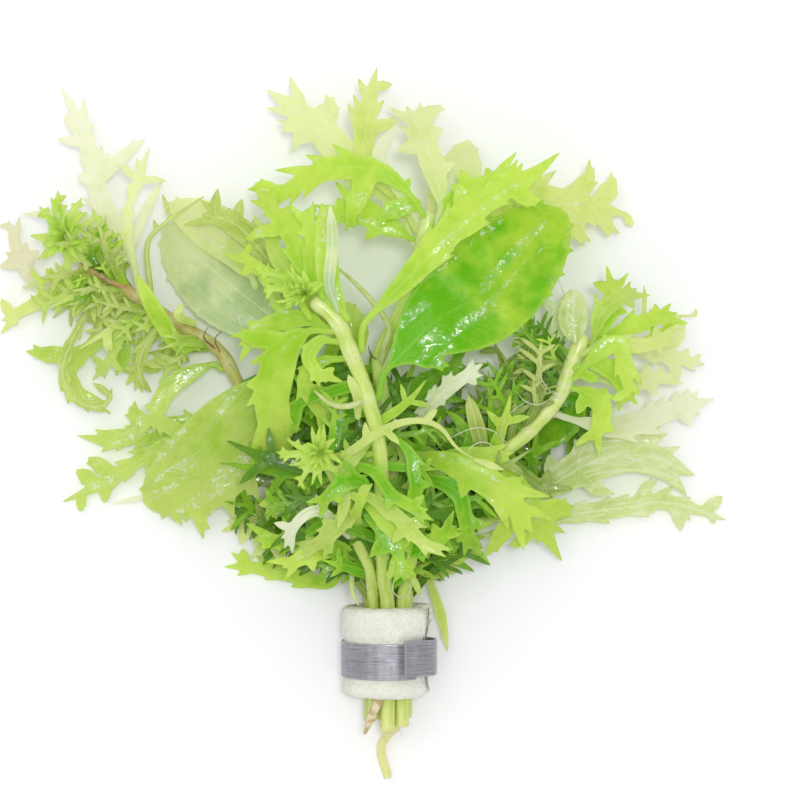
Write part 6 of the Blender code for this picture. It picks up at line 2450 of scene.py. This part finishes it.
SMALL_LEAVES = [
    Leaf("pale_strip_top", "stem_2", Form.STRIP, [(11, 124), (2.5, 134), (-2.5, 142), (3.2, 152)], 2.0,
         Leafage.FADED, heights=(34, 22)),
    Leaf("grey_blade", "stem_1", Form.STRIP, [(-15, 98.5), (-15.4, 106), (-14.6, 117), (-15.4, 128.3)], 1.7,
         Leafage.GREY, side=1, heights=(49, 44)),
    Leaf("grey_slip_top", "stem_2", Form.STRIP, [(11, 122), (15, 128), (17, 133), (18, 139.5)], 1.4,
         Leafage.SILVER, side=-1, heights=(26, 18)),
    Leaf("pale_round_right", "stem_3", Form.OVATE, [(53.5, 91), (51, 96.5), (51.5, 105)], 4.0,
         Leafage.STRIPED, side=1, heights=(27, 25)),
    Leaf("narrow_lobe_right", "stem_3", Form.LOBED, [(53, 89.5), (61, 88.5), (68.5, 90), (83, 97.5)], 1.6,
         Leafage.BRIGHT, 1.1, [(78, 91), (73, 96)], heights=(28, 14)),
    Leaf("pale_edge_left", "stem_7", Form.STRIP, [(-36, 55), (-52, 50), (-68.5, 47.5), (-80, 45.2)], 0.9,
         Leafage.FADED, side=-1, heights=(3, 1.5)),
    Leaf("green_lobes_centre", "stem_2", Form.LOBED, [(0.5, 66), (3.5, 62.5), (6, 57), (7.6, 50.5)], 2.0,
         Leafage.GREEN, 1.3, [(1.5, 56.5), (10.5, 56), (3.5, 51)], side=1, heights=(33, 28)),
    Leaf("bright_tuft_low", "stem_5", Form.LOBED, [(-9, 38), (-8.5, 44), (-7, 48), (-5.5, 53)], 1.7,
         Leafage.BRIGHT, 1.2, [(-11, 50), (-3.5, 48)], side=1, heights=(40, 38)),
    Leaf("yellow_strip_low", "stem_5", Form.STRIP, [(-9.5, 39.5), (-14, 45.5), (-20.5, 49.5)], 1.9,
         Leafage.YELLOW, side=-1, heights=(33, 28)),
    Leaf("node_bract_sprig", "stem_4", Form.STRIP, [(-57, 95), (-58.5, 98.5), (-57, 102)], 1.2,
         Leafage.YELLOW, side=1, heights=(18, 17)),
    Leaf("node_bract_left", "stem_1", Form.STRIP, [(-4.5, 73), (-8, 76), (-10.5, 82)], 1.3,
         Leafage.YELLOW, heights=(43, 44)),
    Leaf("node_bract_centre", "stem_2", Form.STRIP, [(-2, 84), (1.5, 87), (3.5, 92)], 1.3,
         Leafage.FADED, side=1, heights=(33, 33)),
    Leaf("slip_by_foam", "stem_2", Form.STRIP, [(1, 26), (4, 29), (7.5, 25), (9, 20.5)], 1.0,
         Leafage.GREEN, side=1, heights=(26, 22)),
    Leaf("dark_lobe_gap", "stem_8", Form.LOBED, [(-1, 42), (6, 49), (10.5, 58), (12.5, 66)], 2.6,
         Leafage.BROAD, 1.7, [(4, 58), (14.5, 57)], heights=(14, 16)),
    Leaf("dark_lobe_left", "stem_8", Form.LOBED, [(-4, 53), (-12, 61), (-20, 70), (-24, 80)], 3.2,
         Leafage.DARK, 1.8, [(-22, 62), (-14, 74)], heights=(15, 16)),
    Leaf("upper_lobed_left", "stem_2", Form.LOBED, [(10, 118), (1, 122.5), (-9, 127), (-19, 123.5)], 4.6,
         Leafage.BRIGHT, 2.0, [(-6, 119), (-14, 131)], side=-1, heights=(30, 24)),
    Leaf("upper_pale_middle", "stem_2", Form.LOBED, [(11, 123), (5, 128), (-1, 134), (-9, 137.5)], 4.4,
         Leafage.PALE, 1.8, [(-3, 139.5), (0, 126)], heights=(26, 20)),
    Leaf("upper_right_lobes", "stem_2", Form.LOBED, [(11.5, 122), (17, 128), (25, 133), (33, 137)], 4.0,
         Leafage.BRIGHT, 1.8, [(20, 138), (27, 139)], side=1, heights=(34, 26)),
    Leaf("fan_left_outer", "stem_1", Form.LOBED, [(-19, 101.5), (-26, 105.5), (-34, 110), (-41, 116)], 2.7,
         Leafage.BRIGHT, 1.3, [(-37, 118), (-40, 109)], heights=(42, 30)),
    Leaf("fan_left_middle", "stem_1", Form.LOBED, [(-19, 101.5), (-24, 108), (-30, 114), (-32.5, 124)], 3.0,
         Leafage.GREEN, 1.4, [(-35.5, 121), (-27, 121)], heights=(44, 32)),
    Leaf("fan_left_upright", "stem_1", Form.LOBED,
         [(-19, 101.5), (-20.5, 109), (-20, 117), (-22.5, 127)], 2.8, Leafage.BRIGHT, 1.3,
         [(-17.5, 121), (-25, 120)], side=1, heights=(42, 34)),
    Leaf("crown_left_upper", "stem_1", Form.LOBED, [(-13, 95), (-22, 97), (-32, 95.5), (-41, 89.5)], 3.4,
         Leafage.BRIGHT, 1.8, [(-38, 97), (-33, 88)], side=-1, heights=(40, 32)),
    Leaf("crown_left_strips", "stem_1", Form.LOBED, [(-12, 92), (-18, 91), (-21, 86), (-16, 79.5)], 2.6,
         Leafage.BRIGHT, 1.5, [(-21, 80), (-14, 84)], heights=(45, 42)),
    Leaf("behind_left_stem", "stem_8", Form.OVATE, [(-19, 84), (-13.5, 88), (-10, 94), (-11.5, 102)], 5.0,
         Leafage.GREEN, side=-1, heights=(24, 22)),
    Leaf("behind_left_pale", "stem_8", Form.OVATE, [(-24, 91), (-20, 98), (-21, 106), (-26, 114)], 4.6,
         Leafage.OLIVE, side=-1, heights=(26, 24)),
    Leaf("tuft_right_bright", "stem_3", Form.LOBED, [(54.5, 92), (62, 93), (70, 96.5), (81, 99.5)], 3.0,
         Leafage.BRIGHT, 1.4, [(74, 102), (77, 95)], heights=(27, 16)),
    Leaf("tuft_right_yellow", "stem_3", Form.LOBED, [(52.5, 89), (60, 91), (69, 90), (80, 92.5)], 2.8,
         Leafage.YELLOW, 1.3, [(74, 96), (76, 87)], side=1, heights=(32, 18)),
    Leaf("tuft_right_upper", "stem_3", Form.LOBED, [(54, 92.5), (58, 98), (62, 102), (69, 106)], 3.2,
         Leafage.GREEN, 1.4, [(61, 106), (68, 100)], side=1, heights=(30, 24)),
    Leaf("tuft_right_pale", "stem_3", Form.LOBED, [(50, 83), (59, 82), (69, 80), (81, 82.5)], 3.2,
         Leafage.PALE, 1.5, [(75, 76), (72, 86)], side=-1, heights=(22, 12)),
    Leaf("tuft_right_hanging", "stem_3", Form.LOBED, [(51, 85), (57, 85), (63, 82), (66.5, 74)], 3.4,
         Leafage.BRIGHT, 1.5, [(62, 75), (70, 78)], side=1, heights=(30, 20)),
    Leaf("pale_slip_low", "stem_5", Form.LOBED, [(-9.5, 39.5), (-18, 45), (-24, 42.5), (-28.5, 34)], 2.0,
         Leafage.SILVER, 1.2, [(-19, 38), (-31, 42)], side=1, heights=(38, 26)),
    Leaf("over_stems_right", "stem_2", Form.LOBED,
         [(1, 61), (9, 60), (18, 57.5), (27, 53), (35, 46), (40, 38)], 5.4, Leafage.BRIGHT, 1.9,
         [(20, 48), (37, 54)], heights=(40, 28), widest=0.45),
    Leaf("over_stems_left", "stem_2", Form.LOBED, [(-1, 52), (-7, 48), (-12, 42), (-19, 36), (-27, 33)], 2.9,
         Leafage.GREEN, 1.4, [(-18, 43), (-15, 33)], side=1, heights=(42, 28)),
    Leaf("over_stems_low", "stem_5", Form.LOBED, [(-14, 50), (-6, 49.5), (2, 44.5), (9, 37.5), (16, 33)], 2.6,
         Leafage.GREEN, 1.3, [(1, 36.5), (10, 44)], side=1, heights=(44, 30)),
    Leaf("over_stems_upper", "stem_1", Form.LOBED, [(-1.5, 49), (-7, 53), (-12.5, 52), (-19, 46.5)], 2.9,
         Leafage.BROAD, 1.4, [(-14, 56), (-12, 47)], heights=(44, 34)),
    Leaf("over_stems_arched", "stem_1", Form.LOBED, [(3, 66), (6, 61), (7.5, 54), (8, 46), (10, 39)], 2.3,
         Leafage.BROAD, 1.2, [(12, 52), (4.5, 45)], heights=(44, 34)),
    Leaf("sprig_arm", "stem_4", Form.LOBED, [(-68, 110), (-72.6, 123.3), (-70.7, 133.2), (-66.3, 146.5)], 1.5,
         Leafage.PALE, 1.1, [(-61.3, 136), (-75.4, 141.2)], heights=(24, 14)),
    Leaf("sprig_hook_left", "stem_4", Form.LOBED,
         [(-85.5, 97), (-90, 88), (-90.5, 79.5), (-86, 74), (-79.5, 74), (-78, 79.5)], 1.5,
         Leafage.OLIVE, 1.0, [(-84, 80)], heights=(18, 5)),
    Leaf("sprig_hook_middle", "stem_4", Form.LOBED, [(-73.7, 98), (-76, 90), (-79, 85), (-84, 80.5)], 1.7,
         Leafage.GREEN, 1.0, [(-74, 82.5), (-84, 88)], side=-1, heights=(20, 6)),
    Leaf("sprig_hook_right", "stem_4", Form.LOBED, [(-65, 95), (-69, 87.5), (-69.5, 80.5), (-66.5, 77)], 1.7,
         Leafage.OLIVE, 1.0, [(-62.5, 84), (-74, 84)], side=1, heights=(20, 6)),
    Leaf("hanging_right", "stem_2", Form.LOBED, [(13, 56), (18, 51), (21, 44), (22.5, 37), (27, 31)], 3.0,
         Leafage.BROAD, 1.5, [(28, 41), (18.5, 36)], heights=(36, 20)),
    Leaf("hanging_left", "stem_1", Form.LOBED,
         [(-22, 59), (-26, 55.5), (-29.5, 51), (-31, 45), (-32, 38.5)], 2.6, Leafage.BRIGHT, 1.4,
         [(-25.5, 46), (-36, 46)], heights=(33, 16)),
    Leaf("over_stem_long", "stem_5", Form.LOBED, [(-9, 60), (-4, 56), (1, 50), (7, 46), (13, 42.5)], 2.2,
         Leafage.BROAD, 1.2, [(-0.5, 45.5), (10, 50)], heights=(45, 36)),
    Leaf("over_stem_dark", "stem_5", Form.LOBED, [(-11, 45), (-5, 43), (0, 38), (3.5, 32), (4.5, 25.5)], 2.2,
         Leafage.BROAD, 1.2, [(6.5, 37), (-2.5, 33)], heights=(44, 32)),
    Leaf("hanging_strap", "stem_1", Form.STRIP, [(-10, 62), (-12.5, 55), (-11.5, 48), (-13.5, 40)], 1.9,
         Leafage.GREEN, heights=(44, 34)),
    Leaf("hanging_middle", "stem_2", Form.STRIP, [(2, 50), (-1.5, 44), (-1, 38), (-5, 32)], 1.9,
         Leafage.BROAD, heights=(43, 30)),
    Leaf("over_stems_lower", "stem_1", Form.LOBED, [(-1, 30), (5, 34), (12, 36.5), (19, 41)], 3.4,
         Leafage.BROAD, 1.5, [(10, 31), (12, 42)], heights=(34, 26)),
    Leaf("left_skirt", "stem_5", Form.LOBED, [(-6, 30), (-13, 34), (-20, 33.5), (-29, 29)], 3.6,
         Leafage.BRIGHT, 1.7, [(-22, 39), (-20, 28)], side=-1, heights=(30, 16)),
    Leaf("left_skirt_upper", "stem_5", Form.LOBED, [(-9, 37), (-18, 38), (-27, 36), (-37, 37)], 3.4,
         Leafage.BROAD, 1.6, [(-28, 42), (-29, 32)], side=-1, heights=(28, 14)),
    Leaf("right_skirt", "stem_2", Form.LOBED, [(1.5, 33), (9, 37), (18, 37), (27, 33.5)], 3.8,
         Leafage.BROAD, 1.7, [(17, 43), (18, 32)], side=-1, heights=(30, 20)),
    Leaf("grey_under_right", "stem_3", Form.LOBED, [(33, 61.5), (36, 55.5), (42, 51), (46.5, 50)], 3.2,
         Leafage.SHADED, 1.6, [(45, 56), (36, 50)], side=-1, heights=(15, 12)),
]

# The dense middle of the bunch and the head of the side sprig, seen from above
CROWN = [(-10, 25), (-26, 31), (-42, 35), (-50, 45), (-47, 64), (-42, 82), (-24, 88), (-2, 88), (14, 86),
         (32, 90), (43, 95), (55, 88), (61, 75), (56, 62), (42, 56), (36, 47), (30, 38), (19, 30), (6, 24)]
RIGHT_HEART = [(14, 60), (18, 82), (26, 94), (38, 99), (48, 98), (53, 84), (50, 72), (38, 58), (26, 54)]
SPRIG_HEAD = [(-74, 106), (-84, 98), (-96, 99), (-106, 106), (-109, 120), (-104, 132), (-92, 138), (-80, 136),
              (-73, 122)]
SPRIG_FOOT = [(-52, 90), (-62, 74), (-76, 68), (-92, 74), (-98, 88), (-92, 101), (-76, 106), (-62, 101)]


# The low thickets' darkest finishes are painted shade under the leaves above them.
THICKETS = [
    Thicket(CROWN, ("stem_6", "stem_7", "stem_8", "stem_4"), 230, (0.7, 1.3), (1.5, 16), 2.0,
            {Leafage.DEEP: 5, Leafage.DARK: 4, Leafage.SHADED: 1}, 11),
    Thicket(CROWN, ("stem_2", "stem_3", "stem_8", "stem_1", "stem_5"), 110, (0.65, 1.2), (9, 30), 0.0,
            {Leafage.DARK: 5, Leafage.DEEP: 4, Leafage.SHADED: 1, Leafage.BROAD: 2}, 23),
    Thicket(RIGHT_HEART, ("stem_3", "stem_2", "stem_8"), 70, (0.5, 1.0), (6, 26), 1.0,
            {Leafage.SHADED: 3, Leafage.OLIVE: 2, Leafage.DARK: 4, Leafage.DEEP: 3}, 29),
    Thicket(CROWN, ("stem_1", "stem_5", "stem_2", "stem_3"), 32, (0.5, 0.95), (26, 42), 3.0,
            {Leafage.BRIGHT: 2, Leafage.BROAD: 3, Leafage.DARK: 2}, 31),
    Thicket(SPRIG_HEAD, ("stem_4",), 60, (0.35, 0.9), (3, 26), 3.0,
            {Leafage.GREEN: 4, Leafage.BRIGHT: 3, Leafage.OLIVE: 3, Leafage.DARK: 1}, 37),
    Thicket(SPRIG_FOOT, ("stem_4",), 34, (0.4, 0.85), (2, 18), 0.0,
            {Leafage.YELLOW: 2, Leafage.GREEN: 4, Leafage.OLIVE: 3}, 41),
]

ROOT_WHITE = ThreadFinish("root_white", "stem", (0.86, 0.86, 0.72), (0.74, 0.76, 0.50))
ROOT_BROWN = ThreadFinish("root_brown", "stem_red", (0.40, 0.26, 0.12), (0.24, 0.14, 0.06))
CUT_TAN = ThreadFinish("cut_end_tan", "stem", (0.90, 0.82, 0.56), (0.66, 0.48, 0.24))
PETIOLE_PALE = ThreadFinish("petiole_pale", "stem", (0.72, 0.79, 0.38), (0.62, 0.72, 0.24))

THREADS = [
    Threads("root_threads", ROOT_WHITE, 0.17, [
        [(33.5, 62, 25.5), (30, 66, 30), (24, 67.5, 31), (17, 64.5, 29), (13, 61, 25)],
        [(32.5, 61.5, 26), (31, 67, 31), (34, 72, 33), (38.5, 75, 31)],
        [(31, 60, 26), (27, 63.5, 31), (23, 62.5, 33), (21, 58.5, 31)],
        [(47, 76, 28), (43.5, 78.5, 31), (41.5, 83, 32), (43, 88, 29)],
        [(46, 76.5, 28), (42, 74, 31), (38, 74.5, 32), (35, 77.5, 30)],
        [(51.3, 118.6, 14), (48, 113, 17), (47.5, 108.5, 20), (50.5, 100, 24), (51.5, 92, 26)],
        [(2, 27, 24), (1.5, 22.5, 26), (4, 20.8, 26.5), (6.3, 22.5, 25), (5, 25, 23)],
        [(1.2, -11, 15), (1.8, -14, 14), (0.8, -17, 11), (2.2, -20, 7)],
        [(2.4, -11, 12), (3.6, -14.5, 10), (3.2, -18, 6), (4.6, -21, 3)],
        [(-1.5, -12, 14), (-2.6, -15, 12), (-1.8, -17.5, 9)],
    ]),
    Threads("root_stubs", ROOT_BROWN, 0.26, [
        [(8, 24.5, 19), (9.5, 26.5, 21), (11.8, 26, 20)],
        [(7, 27, 20), (8.2, 29.5, 22.5), (10.5, 30, 22)],
        [(-2.6, 86, 29.5), (-4.6, 87.5, 31), (-5.2, 90, 31)],
        [(0, 85.5, 29.5), (1.4, 87.4, 31.4), (1.2, 89.5, 32)],
        [(13.5, 77, 22), (14.5, 80, 25), (15.5, 82.5, 26)],
        [(-47, 88, 11), (-48.5, 92, 13), (-46.5, 94.5, 13)],
        [(-48.5, 89.5, 11.5), (-51.5, 92.5, 13.5), (-50.5, 95.5, 13)],
    ]),
    Threads("pale_petioles", PETIOLE_PALE, 0.95, [
        [(-2.2, 84.5, 28.5), (-0.8, 90, 33), (0.4, 95, 36), (-3.5, 101, 37.5), (-9, 107, 36),
         (-14, 111.5, 33)],
        [(-6, 75.5, 42), (-10, 73.5, 44), (-15, 74, 43), (-19.5, 77.5, 41)],
        [(-5.5, 27, 20), (-9.5, 27.5, 21), (-9.8, 22.5, 22.5), (-8, 18.6, 24)],
    ], 12),
    Threads("cut_end_tan", CUT_TAN, 1.45, [
        [(-1.8, -3, 20), (-2.8, -9, 20.2), (-4.8, -13.5, 19), (-6.4, -18, 16.8)],
    ], 14),
]


@dataclass
class Studio:
    """The pale floor, the soft light and the camera that looks straight down."""

    camera_spot: tuple = (0.00343, 0.0723, 0.700)
    sensor: float = 36.0
    lens: float = 110.25
    floor_size: float = 3.0
    floor_level: float = -0.0001

    def floor(self) -> None:
        """Lays the floor."""
        half = self.floor_size / 2
        data = bpy.data.meshes.new("floor")
        corners = [(x * half, y * half, self.floor_level) for x, y in ((-1, -1), (1, -1), (1, 1), (-1, 1))]
        data.from_pydata(corners, [], [(0, 1, 2, 3)])
        paint = Paint("floor_white")
        grain = paint.noise(60.0, 2.0).between(0.3, 0.7)
        colour = paint.mix(grain, (0.90, 0.90, 0.915), (0.915, 0.915, 0.925))
        data.materials.append(paint.finish(paint.node("ShaderNodeBsdfPrincipled", {}, {
            "Base Color": colour, "Roughness": 0.6, "Specular IOR Level": 0.2})))
        made = bpy.data.objects.new("floor", data)
        bpy.context.scene.collection.objects.link(made)

    @staticmethod
    def light(name: str, spot: tuple, aim: tuple, size: float, power: float, colour: tuple) -> None:
        """Adds a square light.

        Args:
            name: Its name.
            spot: Where it hangs.
            aim: The point that it faces.
            size: Its side.
            power: Its power in watts.
            colour: Its colour.
        """
        data = bpy.data.lights.new(name, "AREA")
        data.size = size
        data.energy = power
        data.color = colour
        made = bpy.data.objects.new(name, data)
        made.location = spot
        made.rotation_euler = (Vector(aim) - Vector(spot)).to_track_quat("-Z", "Y").to_euler()
        bpy.context.scene.collection.objects.link(made)

    def build(self) -> None:
        """Sets up the floor, the lights, the world and the camera."""
        self.floor()
        self.light("softbox", (-0.22, 0.30, 1.20), (0.0, 0.07, 0.0), 0.80, 3.2, (1.0, 0.99, 0.97))
        self.light("glint", (0.08, 0.14, 1.15), (0.0, 0.07, 0.0), 0.13, 3.0, (1.0, 1.0, 1.0))
        world = bpy.data.worlds.new("studio")
        world.use_nodes = True
        sky = world.node_tree.nodes["Background"]
        sky.inputs["Color"].default_value = (0.975, 0.98, 1.0, 1.0)
        sky.inputs["Strength"].default_value = 0.78
        bpy.context.scene.world = world
        bpy.context.scene.view_settings.view_transform = "Standard"
        data = bpy.data.cameras.new("camera")
        data.sensor_width = self.sensor
        data.lens = self.lens
        data.clip_start = 0.01
        made = bpy.data.objects.new("camera", data)
        made.location = self.camera_spot
        bpy.context.scene.collection.objects.link(made)
        bpy.context.scene.camera = made


def leaf_spots() -> dict[str, list[tuple]]:
    """Where leaves grow from each stem, seen from above."""
    spots: dict[str, list[tuple]] = {}
    for leaf in LEAVES:
        spots.setdefault(leaf.stem, []).append(leaf.path[0])
    return spots


def main() -> None:
    """Builds the bunch and the studio."""
    logging.basicConfig(level=logging.INFO, format="%(message)s")
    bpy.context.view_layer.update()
    stems = {stem.name: StemLine(stem) for stem in STEMS}
    Studio().build()
    FoamWrap().build()
    MetalStrip().build()
    StemBundle(stems, leaf_spots=leaf_spots()).build()
    bed = LeafBed(stems)
    for seed, leaf in enumerate(LEAVES):
        bed.main_leaf(leaf, seed)
    for seed, rosette in enumerate(ROSETTES):
        bed.shoot_tip(rosette, 500 + 50 * seed)
    fronds = [Frond.grown(17 + 1.4 * k, 1.9 - 0.35 * (k % 3), 1 + k % 3, 6.0 + 0.3 * k, 700 + k)
              for k in range(FROND_KINDS)]
    groups: dict[Leafage, list[Skin]] = {}
    for thicket in THICKETS:
        thicket.grow(bed, fronds, groups)
    bed.small_leaves(SMALL_LEAVES, groups, 2000)
    tree = TubeTree()
    for threads in THREADS:
        threads.build(tree)


if __name__ == "__main__":
    main()
